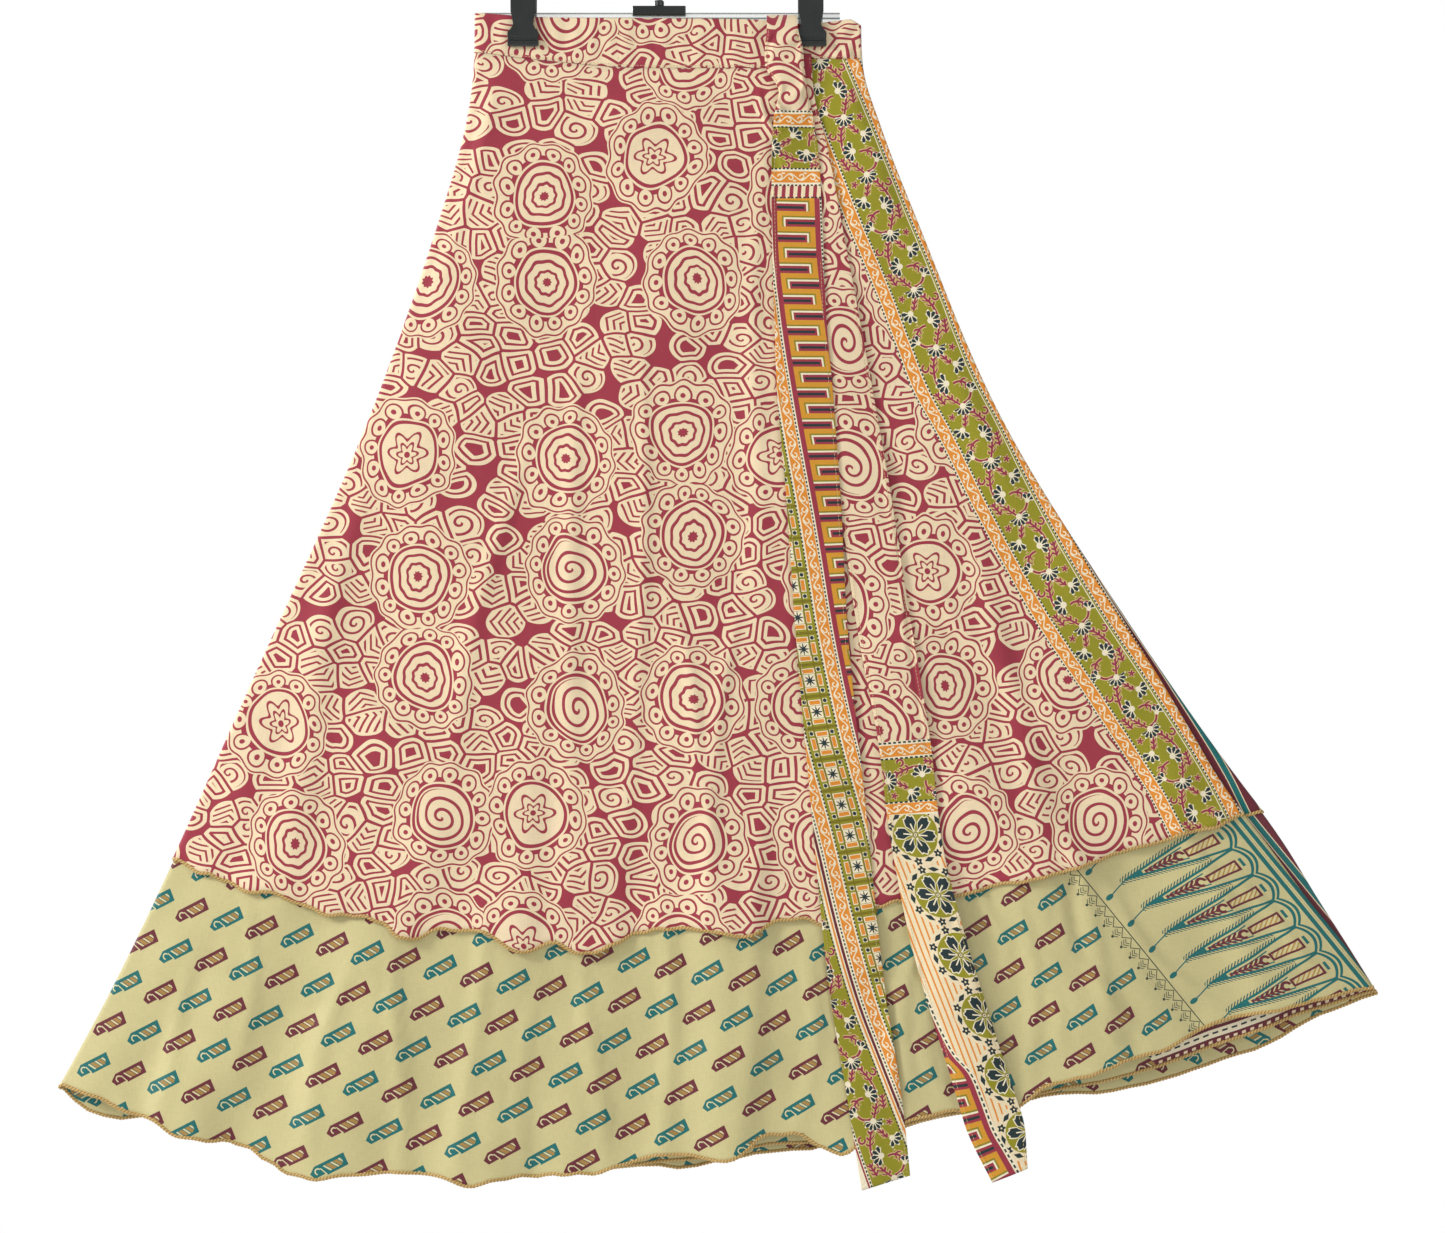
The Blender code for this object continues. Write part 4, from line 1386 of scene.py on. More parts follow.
# %% The vine's strip
def vine_strip(along, across):
    """Olive strip 37 mm wide: winding stem with leaf ticks, and four flowers to each half turn."""
    side = across * calc("SIGN", calc("FLOORED_MODULO", along, 2 * VINE_TURN) - VINE_TURN)
    place = calc("FLOORED_MODULO", along, VINE_TURN)
    off = side + sine(place * (math.pi / VINE_TURN)) * VINE_SWING
    loop_r, loop_angle = polar(place - 41.0, side - 3.2)
    loop_off = loop_r - LOOP_RADIUS
    sprig, on_sprig = side - 3.0 - (place - 10.0) * 0.5, near(place, 11.5, 5.5)
    low, on_low = side + 13.8 - (place - 38.0) * 0.22, near(place, 38.0, 6.0)
    twigs = (
        twig(place, off, 0.95, 1.7, 1.0, any_of(near(place, 12.0, 6.5), near(place, 42.0, 5.0))),
        twig(loop_angle * LOOP_RADIUS, loop_off, 0.9, 1.6, side > 1.5, near(loop_angle, 2.2, 0.62)),
        twig(place, sprig, 0.9, 1.6, on_sprig, on_sprig, 4.0, 2.8),
        twig(place, low, 0.85, 1.5, on_low, on_low, 3.9, 3.0),
    )
    curl_r, curl_angle = polar(place - 12.0, side + 14.6)
    on_curl = curl_angle < 1.6
    bud_r, bud_angle = polar(place - 4.5, side - 12.6)
    bud = cosine(bud_angle * 5.0) * 1.0 + 2.2
    inked = any_of(*[ink_mask for ink_mask, _ in twigs], near(curl_r, 2.6, 0.8) * on_curl, bud_r < bud)
    rims = any_of(*[rim for _, rim in twigs], near(curl_r, 2.6, 1.5) * on_curl, bud_r < bud + 0.8)
    colour = over(inked, WINE, over(rims, STRAW, OLIVE))
    for at, out, size, lean, spread, petals in rows_of(FAN_FLOWERS):
        cream, dark = fan_flower(place - at, side - out, size, lean, spread, petals)
        colour = over(dark, NIGHT, over(cream, CREAM, colour))
    return colour


# %% The whole border
VINE_MIDDLE, VINE_EDGE = 18.5, 36.6
INNER_SCROLLS, OUTER_SCROLLS = 43.3, -7.6
BORDER_DASHES = (-2.0, 37.2, 49.4, -12.6)


def border_strip(inward, down):
    """From 13 mm outside the olive strip to 13 mm inside it."""
    lower = over(near(inward, INNER_SCROLLS, 4.9), scrolls(down, inward - INNER_SCROLLS, 4.8), CREAM)
    colour = over(inward > VINE_EDGE, lower, vine_strip(down, inward - VINE_MIDDLE))
    colour = over(inward < 0.0, scrolls(down + 3.0, inward - OUTER_SCROLLS, 4.6), colour)
    colour = laid(inward, colour, (0.3, 0.5, CREAM), (-0.6, 0.6, OLIVE))
    return over(dash_lines(down, inward, BORDER_DASHES), NIGHT, colour)


# %% [markdown]
# ## The print of the inner layer
# Small hooked boxes in plum and teal stand in slanting rows on a soft olive ground. Along the free
# edge lies the end border: stripes, scallops, and long spires that each hold a feather, a hook and
# a hatched box.


# %% Hooked boxes
BOX_LEAN = math.radians(27.0)
NEXT_BOX = (29.9, -7.2)
NEXT_ROW = (-13.4, -34.2)
FIRST_BOX = (-332.6, -835.2)
FAN_END = 760.0
BOXES_FROM = 164.0


def box_motif(along, up):
    """Body, gold and pale masks of a hatched box 30 mm long with a curled head at its left."""
    left = calc("MAXIMUM", up * -0.5 - 15.8, up * 1.4 - 17.3)
    low = (along > -4.2) * -1.4 - 3.6
    body = (up < 4.8) * (up > low) * (along > left) * (along < up * 0.1 + 14.0)
    slant = along + up * 0.68
    corner = calc("MAXIMUM", along, along - up * 1.2 - 1.4) < 10.9
    slot = near(up, -0.3, 2.7) * (slant > -2.9) * corner
    bar = abs(wrap(slant + 2.0, 6.25))
    curl_r, curl = polar(along + 9.7, up - 0.2)
    line = near(along + up * 0.45, -6.2, 0.45) * near(up, -1.3, 3.0)
    hook = any_of(line, near(curl_r, 2.2, 0.5) * (abs(curl + 0.9) > 1.3))
    return body, slot * (bar > 1.5), any_of(slot * (bar < 0.8), hook)


def inner_print(x, z, inward):
    """Boxes on a slanting lattice that fans out to the right with the flare, plum and teal in turn."""
    (ax, az), (bx, bz) = NEXT_BOX, NEXT_ROW
    area = ax * bz - az * bx
    x, z = x - FIRST_BOX[0], z - FIRST_BOX[1]
    reach = calc("MINIMUM", calc("MAXIMUM", x, 0.0), FAN_END)
    pull, rise = reach * 0.00052, reach * 0.00019
    flat_x = x * 1.016 + z * pull
    flat_z = z * (reach * 0.0001 + 1.0) - reach * rise * 0.5
    i = flat_x * (bz / area) - flat_z * (bx / area)
    j = flat_z * (ax / area) - flat_x * (az / area)
    row, line = calc("ROUND", i), calc("ROUND", j)
    off_x = (i - row) * ax + (j - line) * bx
    off_z = (i - row) * az + (j - line) * bz
    near_x, near_z = off_x - off_z * pull, off_z + off_x * rise
    along, up = turned(near_x, near_z, BOX_LEAN)
    body, gold, pale = box_motif(along, (up - along * reach * 0.00025) * 0.9)
    clear = (inward + near_x * 0.78 + near_z * 0.62) > BOXES_FROM
    odd = calc("FLOORED_MODULO", row + line, 2.0) > 0.5
    colour = over(body * clear, over(odd, TEAL, PLUM), SAND)
    return over(gold * clear, OCHRE, over(pale * clear, PALE_SAND, colour))


# %% Spires
SPIRE_START = 16.4
SPIRE_PITCH = 28.1
SPIRE_FOOT, SPIRE_LENGTH, SPIRE_HALF = 28.0, 84.0, 13.7


def spires(inward, side):
    """Masks of the teal lines, from the stripes to the spires' tips, and of their comb of hairs."""
    off = abs(side)
    share = calc("MAXIMUM", (inward - SPIRE_FOOT) / SPIRE_LENGTH, 0.0)
    half = SPIRE_HALF - calc("POWER", share, 1.1) * SPIRE_HALF
    outline = near(off, half - 0.4, 1.05) * near(inward, 68.5, 43.5)
    filled_end = (off < half) * near(inward, 104.0, 8.0)
    inner_line = near(off, half - 3.6, 0.6) * near(inward, 80.0, 22.0)
    stem = near(side - (inward - 108.0) * 0.12, 0.0, 0.55) * near(inward, 117.5, 10.0)
    tip_r, _ = polar((inward - 131.0) * 0.6, side - 2.8)
    ring = inward - off * off * (6.8 / (SPIRE_PITCH / 2) ** 2)
    scallops = any_of(near(ring, 15.6, 1.25), near(ring, 19.9, 1.35))
    stripes = any_of(near(inward, 10.9, 1.8), near(inward, 4.3, 1.7), near(inward, 26.4, 1.3) * (off < 4.0))
    teal = any_of(scallops, stripes, outline, filled_end, inner_line, stem, tip_r < 2.2)
    comb = near(off, half + 1.9, 1.7) * near(wrap(inward + off * 0.9, 2.6), 0.0, 0.6)
    return teal, comb * near(inward, 80.0, 36.0) * (off < SPIRE_PITCH / 2 - 0.6)


# %% What fills a spire
def spire_fillings(inward, middle):
    """Masks of the feather, hook and box inside a spire, of the box's slot, and of its gold bars."""
    off = abs(middle)
    barbs = near(wrap(inward + off * 1.1, 4.3), 0.0, 1.4) * (off < (94.0 - inward) * 0.135 + 1.5)
    feather = any_of(barbs, off < 0.6) * near(inward, 81.0, 13.0)
    hook_r, hook_angle = polar(inward - 63.5, middle)
    hook = near(hook_r, 3.4, 1.3) * (hook_angle < 1.9)
    tall = 5.3 - (inward - 30.0) * 0.05
    box = near(inward, 44.2, 14.4) * (off < tall)
    slot = near(inward, 44.2, 12.4) * (off < tall - 1.9)
    bars = slot * near(wrap(inward - middle * 1.2, 4.8), 0.0, 0.95)
    return any_of(feather, hook, box), slot, bars


# %% End border
TOOTH_PITCH = 11.4


def lace(inward, down):
    """Line of teeth with fans and dots that closes the border on its inner side."""
    tooth = abs(wrap(down, TOOTH_PITCH))
    fans = near(wrap(inward + tooth * 0.8, 2.3), 0.0, 0.42) * near(inward, 145.9, 3.0) * (tooth < 3.4)
    dot_r, _ = polar(inward - 150.0, tooth)
    return any_of(near(inward, 137.6, 0.45), near(inward - tooth, 138.8, 0.5), fans, dot_r < 1.2)


def end_border(inward, down):
    """Stripes, scallops, spires and the lace line, by the distance in from the free edge."""
    slant = calc("MINIMUM", inward, SPIRE_FOOT + SPIRE_LENGTH) * 0.26
    side = wrap(down + slant - SPIRE_START, SPIRE_PITCH)
    teal, comb = spires(inward, side)
    plum, slot, bars = spire_fillings(inward, side - 0.8)
    colour = over(teal, TEAL, over(comb, DEEP_TEAL, SAND))
    colour = over(slot, BOX_SAND, over(plum, PLUM, colour))
    colour = over(bars, THREAD_GOLD, colour)
    fine_dashes = near(inward, 7.6, 0.35) * near(wrap(down, 1.7), 0.0, 0.5)
    return over(lace(inward, down), GREY_GREEN, over(fine_dashes, DULL_GOLD, colour))


# %% [markdown]
# ## The patchwork of the ties
# The ties are cut from border lengths, on a slant, so their bands drift across them on the way
# down. A key pattern, two orange scroll strips, a grid with stars and a flowered strip follow each
# other on the long tie, and discs with petals and thin stripes fill the end of the short one.


# %% Key pattern
KEY_STEP = 13.2
KEY_HALF = 15.9


def key_pattern(along, across):
    """Fingers from both sides in turn, and a gold path with olive and cream lines between them."""
    flip = calc("SIGN", calc("FLOORED_MODULO", along, 2 * KEY_STEP) - KEY_STEP)
    place = wrap(along - KEY_STEP / 2, KEY_STEP)
    side = across * flip
    above = place < 3.1
    out = calc("MAXIMUM", place * -1.0 - 3.2, side - (KEY_HALF - 7.0))
    colour = GOLD
    for reach, line in ((2.9, KEY_OLIVE), (1.5, CREAM), (0.0, MAROON)):
        colour = over(above * (out < reach), line, colour)
    bar = (abs(place) < 1.1) * near(side, -4.2, KEY_HALF - 4.4)
    return over(bar, NIGHT, colour)


# %% Grid with stars
STAR_STEP = 26.4


def star_grid(along, across):
    """Squares with dark stars between orange bars, on an olive lattice."""
    place = wrap(along - STAR_STEP / 2, STAR_STEP)
    u, v = abs(across), abs(place)
    square = (u < 5.0) * (v < 5.2)
    halo = any_of((u < 5.4) * near(v, 7.9, 2.3), near(u, 8.7, 2.3) * (v < 5.2))
    bars = any_of((u < 4.5) * near(v, 7.9, 1.6), near(u, 8.7, 1.6) * (v < 4.4))
    corner = near(u, 8.9, 1.9) * near(v, 8.9, 1.9)
    dot_r, _ = polar(u - 8.9, v - 8.9)
    radius, angle = polar(across, place)
    star = radius < abs(cosine(angle * 4.0 + 1.57)) * -3.6 + 5.4
    colour = over(bars, ORANGE, over(halo, CREAM, OLIVE))
    colour = over(any_of(square, corner), CREAM, colour)
    colour = over(any_of(near(u, 6.2, 0.55), near(v, 12.6, 0.5)), DARK_OLIVE, colour)
    return over(any_of(star * square, dot_r < 1.6), NIGHT, colour)


# %% Discs with petals
DISC_STEP, DISC_START = 51.3, 645.0
DISC_RADIUS, DISC_REACH = 19.0, 26.0
DISC_BUDS, BUD_CIRCLE = 7, 22.6


def disc_flower(along, across):
    """Olive disc with six dark petals, in a ring of small dark buds and leaves in turn."""
    radius, angle = polar(across, along)
    petal = wrap(angle + 0.82, math.pi / 3) / (math.pi / 3)
    reach = abs(petal)
    narrowing = abs(radius - 10.0) * 0.033
    teeth = cosine(petal * 6 * math.pi) * 0.9 + 16.2
    petals = (radius > 3.8) * (radius < teeth) * (reach < 0.41 - narrowing)
    rims = (radius > 3.0) * (radius < teeth + 1.1) * (reach < 0.48 - narrowing)
    veins = (reach * radius < 0.55) * near(radius, 6.6, 3.6)
    bud_step = FULL_TURN / DISC_BUDS
    bud_r, bud_angle = polar(wrap(angle, bud_step) * radius, radius - BUD_CIRCLE)
    bud = (bud_r < cosine(bud_angle * 5.0) * 0.7 + 2.9) * (bud_r > 0.8)
    aside = abs(wrap(angle + bud_step / 2, bud_step) * radius)
    leaf = near(radius, aside * 0.12 + 21.8, 2.1 - aside * 0.44)
    colour = over(rims, CREAM, over(radius < DISC_RADIUS, OLIVE, TIE_GROUND))
    colour = over(any_of(veins, radius < 2.6), CREAM, over(petals, NIGHT, colour))
    colour = over(any_of(near(radius, 1.9, 0.5), radius < 0.7), DARK_OLIVE, colour)
    return over(any_of(bud, leaf), NIGHT, colour)


# %% Print of the long tie
LONG_SCROLLS = 20.6
LONG_KEYS, LONG_VINE = 48.2, -55.2
LONG_LINES = (13.9, -14.0, 26.4, -27.0, -36.6, 69.4, -74.6)
PATCH_DASHES = (39.6, 53.0, 87.4, 101.0, 111.4)
FRINGE_TOP, PATCH_END = 101.4, 112.0


def long_tie_bands(band, step):
    """Slanting bands from side to side: a vine, scrolls, stars, scrolls again and the key pattern."""
    colour = over(band > 32.3, key_pattern(step * 1.013 + 4.0, band - LONG_KEYS), star_grid(step, band))
    colour = laid(
        band,
        colour,
        (30.2, 2.2, MAROON),
        (20.9, 7.2, scrolls(step, band - LONG_SCROLLS, 4.7)),
        (-20.6, 6.9, scrolls(step, band + LONG_SCROLLS, 4.7)),
        (-31.8, 4.4, CREAM),
        (-30.2, 1.2, PLUM),
        (-33.2, 0.8, ORANGE),
    )
    colour = over(band < -36.2, vine_strip(step, band - LONG_VINE), colour)
    colour = over(near(band, 66.4, 2.2), MAROON, colour)
    colour = over(band > 68.6, over(band > 71.0, ORANGE, CREAM), colour)
    colour = over(band < -73.6, over(near(band, -76.6, 0.7), MAROON, CREAM), colour)
    return over(dash_lines(step, band, LONG_LINES), NIGHT, colour)


def long_tie_print(across, drop, band, step):
    """Two patches and a fringe by the drop down the tie, and the slanting bands under them."""
    patch = laid(
        drop,
        CREAM,
        (46.4, 6.2, scrolls(across, drop - 46.4, 4.6)),
        (70.0, 17.2, vine_strip(across + 20.0, drop - 70.0)),
        (94.2, 6.4, scrolls(across, drop - 94.2, 4.6)),
    )
    on_fringe = drop > FRINGE_TOP
    fringe = near(wrap(across + drop * 0.1, 6.6), 0.0, 1.6) * on_fringe
    patch = over(fringe, MAROON, over(on_fringe, TIE_GROUND, patch))
    patch = over(dash_lines(across, drop, PATCH_DASHES), NIGHT, patch)
    return over(drop < PATCH_END, patch, long_tie_bands(band, step))


# %% Print of the short tie
SHORT_STRIPE_PITCH = 5.2
SHORT_KEYS = -22.3
PATCH_LEAN = 0.08
SHORT_PATCH_DASHES = (567.4, 580.6, 617.2)
SHORT_PATCH_END = 628.0


def short_tie_bands(band, step, fold):
    """Thin stripes with discs over them, and the key pattern where the other side turns forward."""
    stripes = over(near(wrap(band, SHORT_STRIPE_PITCH), 0.0, 0.75), ORANGE, TIE_GROUND)
    place = wrap(step - DISC_START, DISC_STEP)
    radius, _ = polar(band, place)
    colour = over(radius < DISC_REACH, disc_flower(place, band), stripes)
    turned_side = ((2.6, CREAM), (-1.6, MAROON), (-6.4, key_pattern(step, fold - SHORT_KEYS)))
    for start, filling in turned_side:
        colour = over(fold < start, filling, colour)
    return over(dashes(step, fold, 0.4, 0.8, 5.0), NIGHT, colour)


def short_tie_print(across, drop, band, step, fold):
    """Patches that lean a little across the tie, then the slanting bands."""
    down = drop + across * PATCH_LEAN
    patch = laid(
        down,
        CREAM,
        (574.1, 6.0, scrolls(across, down - 574.1, 4.8)),
        (599.0, 18.0, vine_strip(across + 70.0, down - 599.0)),
        (622.6, 5.2, scrolls(across, down - 622.6, 4.4)),
    )
    patch = over(dash_lines(across, down, SHORT_PATCH_DASHES, 0.8, 4.2), NIGHT, patch)
    return over(drop + across * 0.03 < SHORT_PATCH_END, patch, short_tie_bands(band, step, fold))


# %% [markdown]
# ## Cloth that looks woven
# The outer layer is a plain weave of thin silk-like yarn, a little slubby, and the inner one is
# glossier. The shader gets the print's colour, an uneven tone, a soft sheen and a fine bump of
# crossing threads.


# %% Starting and ending a material
def begin(name, piece):
    """A new material on the piece, whose node tree takes the fields that follow."""
    made = bpy.data.materials.new(name)
    made.use_nodes = True
    made.node_tree.nodes.clear()
    Field.tree, Field.material = made.node_tree, made
    piece.data.materials.append(made)


def finish_with(shader):
    """The shader goes to the output, and the material is complete."""
    node("OutputMaterial", {"Surface": shader})
    print(f"{Field.material.name}: {len(Field.tree.nodes)} nodes")


def uv_mm(layer):
    """A UV map's two coordinates in millimetres."""
    u, v, _ = parts(node("UVMap", {}, uv_map=layer).outputs[0])
    return u * 1000.0, v * 1000.0


def object_mm():
    """The piece's own coordinates in millimetres."""
    return [axis * 1000.0 for axis in parts(node("TexCoord", {}).outputs["Object"])]


def shaded(colour, tone):
    """A colour, or an ink, times a tone."""
    if isinstance(colour, tuple):
        colour = colour[:3]
    return node("VectorMath", {0: colour, "Scale": tone}, operation="SCALE").outputs[0]


def bump(height, strength, distance):
    """Normal of a surface with fine heights, up to a distance in metres."""
    return node("Bump", {"Height": height, "Strength": strength, "Distance": distance}).outputs[0]


def choose(mask, chosen, otherwise):
    """Mix of two shaders by a mask."""
    return node("MixShader", {0: mask, 1: otherwise, 2: chosen}).outputs[0]


# %% Woven finish
SHEEN_ROUGHNESS, CLOTH_SPECULAR = 0.45, 0.35
SLUB_LENGTH = 9.0


def woven(x, y, pitch, strength, roughness, sheen):
    """A cloth's finish: a function that turns a print into a shader, with crossing threads.

    The bump is weave plus slubs drawn out along both directions plus soft unevenness.
    """
    weave = sine(x * (FULL_TURN / pitch)) * sine(y * (FULL_TURN / pitch))
    slub = noise(x / SLUB_LENGTH, y, 0.9, 2.0) + noise(x, y / SLUB_LENGTH, 0.9, 2.0, z=3.0)
    height = weave * 0.22 + slub + noise(x, y, 13.0, 2.0, z=8.0) * 2.6
    normal = bump(height, strength, 0.0004)

    def cloth(colour, deeper=0.0):
        """Principled shader whose tone follows the slubs and larger clouds."""
        clouds = noise(x, y, 70.0, 2.0, z=5.0)
        toned = shaded(colour, slub * 0.16 + clouds * 0.16 + (0.76 - deeper))
        made = node("BsdfPrincipled", {"Base Color": toned, "Roughness": roughness, "Normal": normal})
        made.inputs["Sheen Weight"].default_value = sheen
        made.inputs["Sheen Roughness"].default_value = SHEEN_ROUGHNESS
        made.inputs["Specular IOR Level"].default_value = CLOTH_SPECULAR
        return made.outputs[0]

    return cloth


# %% [markdown]
# ## Each piece gets its prints
# The last map of a layer counts its laps: 0 in front, 1 behind and 2 beneath. With it a border is
# kept to the free front edge and the selvedge to the hidden one. A print that needs its own depth
# of colour gets its own shader, and a mask mixes the two.


# %% Where on the wrap a print lies
IN_FRONT, BEHIND, BENEATH = 400.0, 600.0, 1500.0
FLOWER_BORDER_WIDTH, END_BORDER_WIDTH = 50.0, 152.0
OUTER_SELVEDGE, INNER_SELVEDGE = 16.0, 6.0
HEM_STRIPE_HEIGHT, HEM_STRIPE_LENGTH = 14.4, 190.0


def selvedge_stripes(inward):
    """Plum and teal stripes with a thin pale line between them."""
    place = abs(wrap(inward - 3.0, 14.0))
    return over(near(place, 4.4, 0.4), BEIGE, over(place < 4.4, PLUM, TEAL))


# %% Outer layer's material
begin("outer_layer_print", outer_cloth)
x, y = uv_mm("cloth")
inward, down = uv_mm("border")
lap, _ = uv_mm("hem")
thin = woven(x, y, pitch=0.7, strength=0.35, roughness=0.72, sheen=0.25)
on_selvedge = (lap > BEHIND) * (inward < OUTER_SELVEDGE)
printed = thin(over(on_selvedge, selvedge_stripes(inward), flowered(x, y)))
edge_print = thin(border_strip(inward, down))
finish_with(choose((lap < IN_FRONT) * (inward < FLOWER_BORDER_WIDTH), edge_print, printed))

# %% Inner layer's material
begin("inner_layer_print", inner_cloth)
x, y = uv_mm("cloth")
inward, down = uv_mm("border")
lap, up = uv_mm("hem")
glossy = woven(x, y, pitch=0.6, strength=0.30, roughness=0.46, sheen=0.35)
teeth = near(wrap(x, 7.0), 0.0, 1.6) * near(up, 3.2, 1.0)
hem_stripe = over(teeth, BEIGE, over(up < 6.0, PLUM, CREAM))
hem_stripe = over(dashes(x, up, 9.2, 0.7, 8.0), NIGHT, over(near(up, 13.2, 1.2), PLUM, hem_stripe))
on_hem_stripe = (lap > BENEATH) * (inward < HEM_STRIPE_LENGTH) * (up < HEM_STRIPE_HEIGHT)
boxes = over(on_hem_stripe, hem_stripe, inner_print(x, y, any_of(inward, lap)))
boxes = over((lap > BEHIND) * (inward < INNER_SELVEDGE), selvedge_stripes(inward), boxes)
rows = glossy(boxes, deeper=0.045)
pointed = glossy(end_border(inward, down), deeper=0.06)
finish_with(choose((lap < IN_FRONT) * (inward < END_BORDER_WIDTH), pointed, rows))

# %% Waistband's material
begin("waistband_print", waistband_cloth)
x, y = uv_mm("cloth")
stitched = woven(x, y, pitch=0.7, strength=0.35, roughness=0.74, sheen=0.25)
finish_with(stitched(flowered(x + 340.0, y - 40.0)))

# %% Ties' materials
TIE_WEAVE = {"pitch": 0.7, "strength": 0.4, "roughness": 0.74, "sheen": 0.25}
PATCHES_FROM, SHORT_PATCHES_FROM = 38.6, 566.2

begin("long_tie_print", tie_long_cloth)
across, drop = uv_mm("tie")
band, step = uv_mm("bands")
doubled = woven(across, drop, **TIE_WEAVE)
patches = doubled(long_tie_print(across, drop, band, step), deeper=0.06)
finish_with(choose(drop < PATCHES_FROM, doubled(flowered(across + 45.0, drop)), patches))

begin("short_tie_print", tie_short_cloth)
across, drop = uv_mm("tie")
band, step = uv_mm("bands")
fold, _ = uv_mm("fold")
doubled = woven(across, drop, **TIE_WEAVE)
patches = doubled(short_tie_print(across, drop, band, step, fold), deeper=0.05)
top = doubled(flowered(across + 260.0, drop))
finish_with(choose(drop + across * PATCH_LEAN < SHORT_PATCHES_FROM, top, patches))


# %% [markdown]
# ## Thread and hanger
# The thread is spun, so its tone changes along it, and painted shade darkens the overlock between its
# loops. The hanger is black moulded plastic with a clear bar, a bright wire hook and steel pins. Its
# solids stay as they are and only get their finish here.


# %% Thread
def thread_finish(name, pieces, colour, pitch, looped=False):
    """Twisted thread, some loops paler than others; an overlock gets painted shade between its loops."""
    begin(name, pieces[0])
    for piece in pieces[1:]:
        piece.data.materials.append(Field.material)
    x, y, z = object_mm()
    tone = noise(x, z, pitch, 2.0) * 0.7 + 0.55
    tone = tone * (noise(x, z + y, 40.0) * 0.3 + 0.85)
    if looped:
        # Painted shade: on an overlock the thread is darker between its loops, in step with the roll's
        # ripple.
        at, round_it = uv_mm("thread")
        tone = tone * (sine(at * (FULL_TURN / (LOOP * 1000)) + round_it * 2.0) * 0.34 + 0.82)
    normal = bump(noise(x, z, 0.35, 1.0), 0.4, 0.0002)
    settings = {"Base Color": shaded(colour, tone), "Roughness": 0.55, "Normal": normal}
    finish_with(node("BsdfPrincipled", settings).outputs[0])


thread_finish("overlock_thread", [outer_roll, inner_roll], ink(210, 172, 102), 1.3, looped=True)
thread_finish("beige_thread", long_stitches + short_stitches + [band_stitches], ink(206, 184, 136), 1.0)


# %% Plastic, clear bar and steel
# Heights and half widths in mm of the clear bar's two ribs, which get painted shade.
BAR_RIBS = ((-69.6, 0.45), (-65.5, 0.3))


def hanger_finish(name, pieces, paint):
    """A material of the hanger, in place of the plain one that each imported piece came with."""
    begin(name, pieces[0])
    for piece in pieces:
        piece.data.materials.clear()
        piece.data.materials.append(Field.material)
    finish_with(paint(*object_mm()))


def moulded_plastic(x, y, z):
    """Near-black plastic: fine moulding grain, and dull scuffs in large patches."""
    grain = noise(x + y, z, 0.5, 2.0)
    scuffs = noise(x, z + y, 12.0, 3.0, z=2.0)
    colour = shaded(ink(30, 35, 33), scuffs * 0.6 + 0.7)
    fine = bump(grain, 0.25, 0.0001)
    made = node("BsdfPrincipled", {"Base Color": colour, "Roughness": scuffs * 0.22 + 0.16, "Normal": fine})
    made.inputs["Specular IOR Level"].default_value = 0.6
    return made.outputs[0]


def clear_bar(x, y, z):
    """Clear moulded plastic, with painted shade on its two ribs, which are also made less clear."""
    scratches = noise(x / 8.0, z, 0.6, 2.0)
    rib_shade = any_of(*[near(z, middle, half) for middle, half in BAR_RIBS])
    # Painted shade: the ribs get a dark green-grey in place of the clear plastic's pale tint.
    colour = over(rib_shade, ink(52, 78, 68), ink(232, 240, 236))
    settings = {"Base Color": colour, "Roughness": scratches * 0.12 + 0.04, "Alpha": rib_shade * 0.55 + 0.25}
    return node("BsdfPrincipled", settings).outputs[0]


def bright_wire(x, y, z):
    """Plated steel wire: a drawn grain along it, a little duller in places."""
    dull = noise(x + y, z, 6.0, 3.0)
    grain = bump(noise(x * 4.0, z * 4.0, 0.8, 1.0, z=1.0), 0.1, 0.0001)
    settings = {"Base Color": ink(205, 203, 196), "Roughness": dull * 0.3 + 0.1, "Normal": grain}
    made = node("BsdfPrincipled", settings)
    made.inputs["Metallic"].default_value = 1.0
    return made.outputs[0]


# %% Finishes of the hanger
carried = {piece.name.split(".")[0]: piece for piece in bpy.data.objects if piece.type == "MESH"}
black = ["hanger_cap", "hanger_collar"]
black += [f"clip_{side}_{part}" for side in ("left", "right") for part in ("front", "back", "block")]
steel = ["hanger_hook", "clip_left_pin", "clip_right_pin"]
for name, nodes, paint in (
    ("black_plastic", black, moulded_plastic),
    ("clear_acrylic", ["hanger_bar"], clear_bar),
    ("steel", steel, bright_wire),
):
    hanger_finish(name, [carried[node_name] for node_name in nodes], paint)

# %% [markdown]
# ## What each new piece stands for
# Each cloth piece takes the place of its plain solid in the imported model. All pieces belong to the
# one body. For each sheet the script prints the cloth that it is cut from: the rectangle that it fits
# in and, for the flared layers, their own area.

# %% Who stands for whom
for piece, stands_for, slot in (
    (outer_cloth, "outer_layer", "maroon_print"),
    (inner_cloth, "inner_layer", "olive_sateen"),
    (waistband_cloth, "waistband", "maroon_print"),
    (tie_long_cloth, "tie_long", "border_print"),
    (tie_short_cloth, "tie_short", "border_print"),
):
    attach(piece, "root")
    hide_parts(stands_for)
    print(f"{piece.name} stands for {stands_for}")
for sewn in [outer_roll, inner_roll, band_stitches] + long_stitches + short_stitches:
    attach(sewn, "root")


# %% Cut sizes of the sheets
def declare(piece, width, length, area):
    """Cut sizes of the cloth: the rectangle that it fits in, and its own area."""
    print(f"{piece.name}: cut {width:.3f} x {length:.3f} m, area {area or width * length:.3f}")


declare(outer_cloth, 2.75, 0.76, outer_area)
declare(inner_cloth, 3.35, 0.96, inner_area)
declare(waistband_cloth, 0.98, 0.042, None)
declare(tie_long_cloth, 0.044, 1.0, None)
declare(tie_short_cloth, 0.044, 0.98, None)

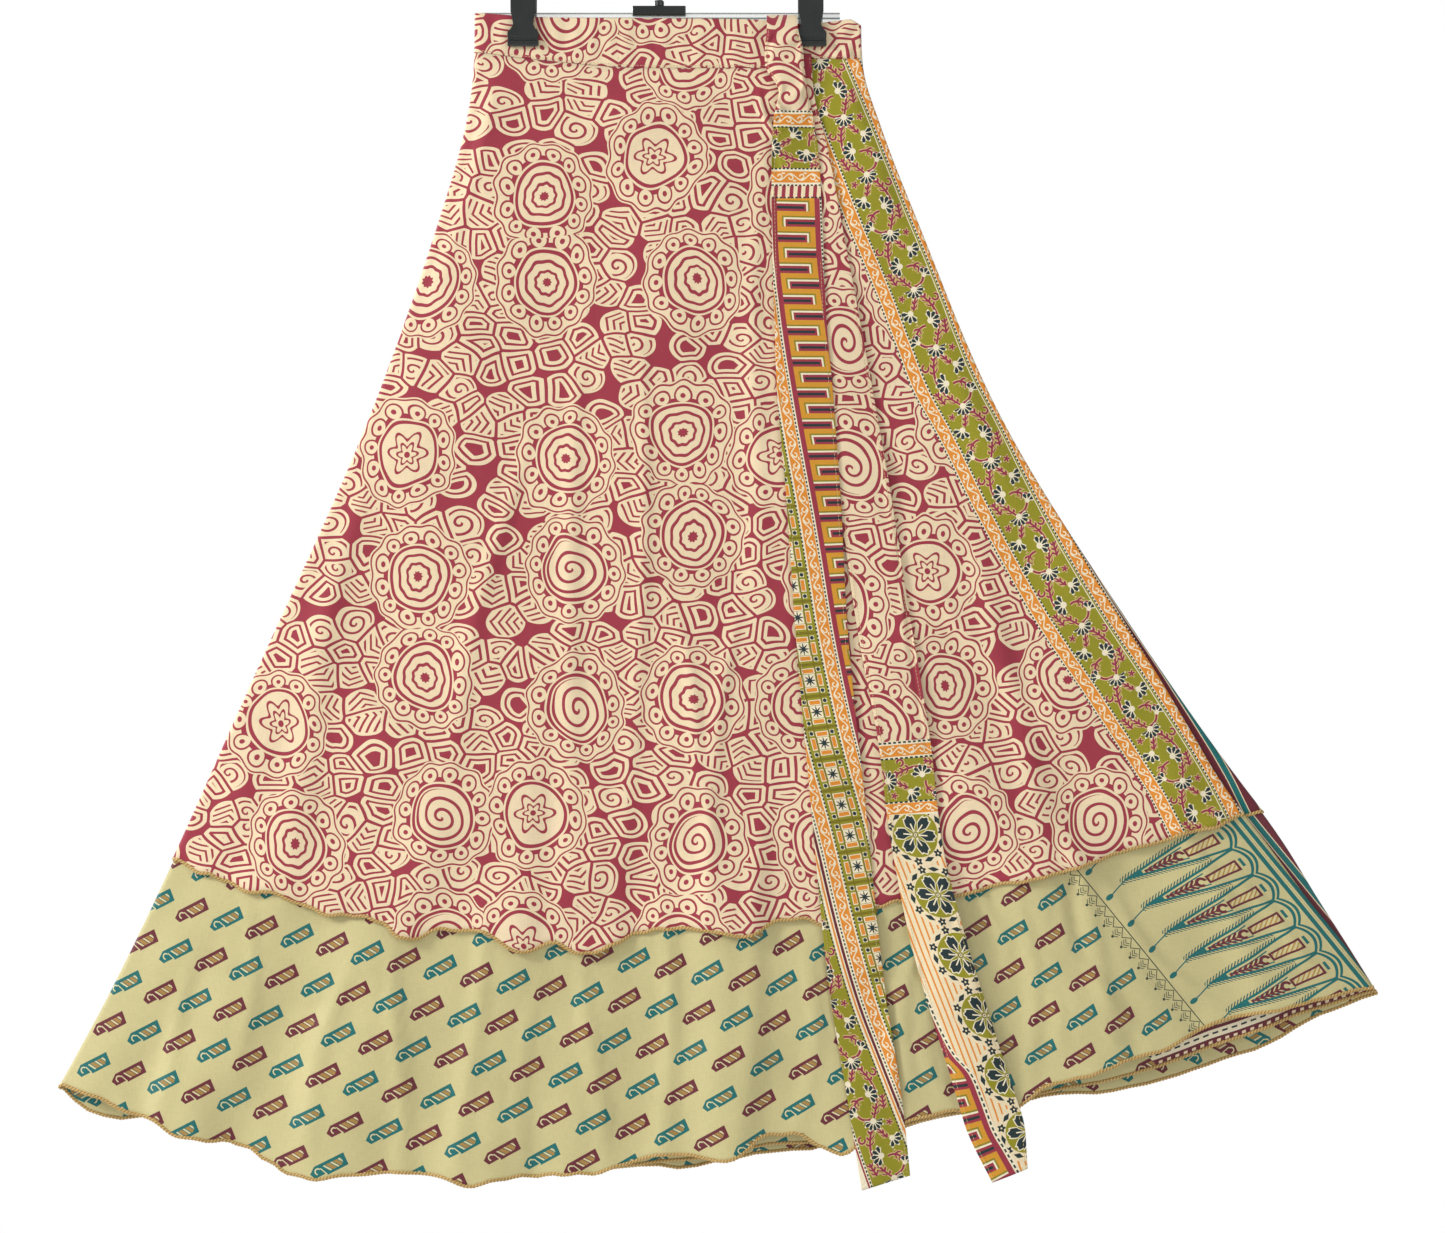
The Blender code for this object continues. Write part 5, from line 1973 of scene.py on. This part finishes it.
# %% [markdown]
# ## Floor, light and camera
# The skirt hangs before white. The world is white where the camera sees it and gives soft light,
# with two lamps in front that model the folds and one behind. The camera looks straight on, from
# where the photograph's scale of 0.84 mm to a pixel fills the frame in the same way.

# %% Floor
def plain(name, colour, roughness):
    """A material of one colour."""
    made = bpy.data.materials.new(name)
    made.use_nodes = True
    shader = made.node_tree.nodes["Principled BSDF"]
    shader.inputs["Base Color"].default_value = (*colour, 1)
    shader.inputs["Roughness"].default_value = roughness
    return made


bpy.ops.mesh.primitive_plane_add(size=4, location=(0, -1.2, -1.45))
floor = bpy.context.active_object
floor.name = "floor"
floor.data.materials.append(plain("pale_floor", (0.86, 0.86, 0.85), 0.9))
print("floor at", floor.location.z)

# %% World
scene = bpy.context.scene
scene.view_settings.view_transform = "Standard"
world = bpy.data.worlds.new("white_room")
scene.world = world
world.use_nodes = True
nodes, links = world.node_tree.nodes, world.node_tree.links
lit = nodes["Background"]
seen = nodes.new("ShaderNodeBackground")
for background, strength in ((lit, 0.50), (seen, 1.0)):
    background.inputs["Color"].default_value = (1, 1, 1, 1)
    background.inputs["Strength"].default_value = strength
path = nodes.new("ShaderNodeLightPath")
pick = nodes.new("ShaderNodeMixShader")
links.new(path.outputs["Is Camera Ray"], pick.inputs[0])
links.new(lit.outputs[0], pick.inputs[1])
links.new(seen.outputs[0], pick.inputs[2])
links.new(pick.outputs[0], nodes["World Output"].inputs[0])
print("world:", world.name)

# %% Lamps
SKIRT_MIDDLE = Vector((0.05, 0.0, -0.55))


def lamp(name, place, size, power):
    """Square area lamp that looks at the skirt's middle."""
    data = bpy.data.lights.new(name, "AREA")
    data.size, data.energy = size, power
    made = bpy.data.objects.new(name, data)
    made.location = place
    made.rotation_euler = (SKIRT_MIDDLE - made.location).to_track_quat("-Z", "Y").to_euler()
    scene.collection.objects.link(made)
    print(f"lamp {name}: {power} W")


lamp("key", (-2.8, -1.5, 0.8), 0.9, 84)
lamp("fill", (2.0, -2.8, 0.2), 1.6, 14)
lamp("behind", (-2.4, 2.4, 0.9), 1.2, 70)

# %% Camera
PIXEL = 0.00084
PHOTO_WIDTH = 1445
PHOTO_MIDDLE = (722.5, 616.5)
ORIGIN_PIXEL = (660, -69.3)
NUDGE_X, NUDGE_Z = 0.0010, 0.0021
FRONT_OF_SKIRT_Y = -0.012
DISTANCE = 3.0
SENSOR_MM = 36
camera = bpy.data.objects.new("camera", bpy.data.cameras.new("camera"))
camera.data.sensor_width = SENSOR_MM
camera.data.lens = SENSOR_MM * DISTANCE / (PHOTO_WIDTH * PIXEL)
middle_x = (PHOTO_MIDDLE[0] - ORIGIN_PIXEL[0]) * PIXEL + NUDGE_X
middle_z = (ORIGIN_PIXEL[1] - PHOTO_MIDDLE[1]) * PIXEL + NUDGE_Z
camera.location = (middle_x, FRONT_OF_SKIRT_Y - DISTANCE, middle_z)
camera.rotation_euler = (math.radians(90), 0, 0)
scene.collection.objects.link(camera)
scene.camera = camera
print(f"camera: {camera.data.lens:.1f} mm lens, {DISTANCE} m before the skirt")
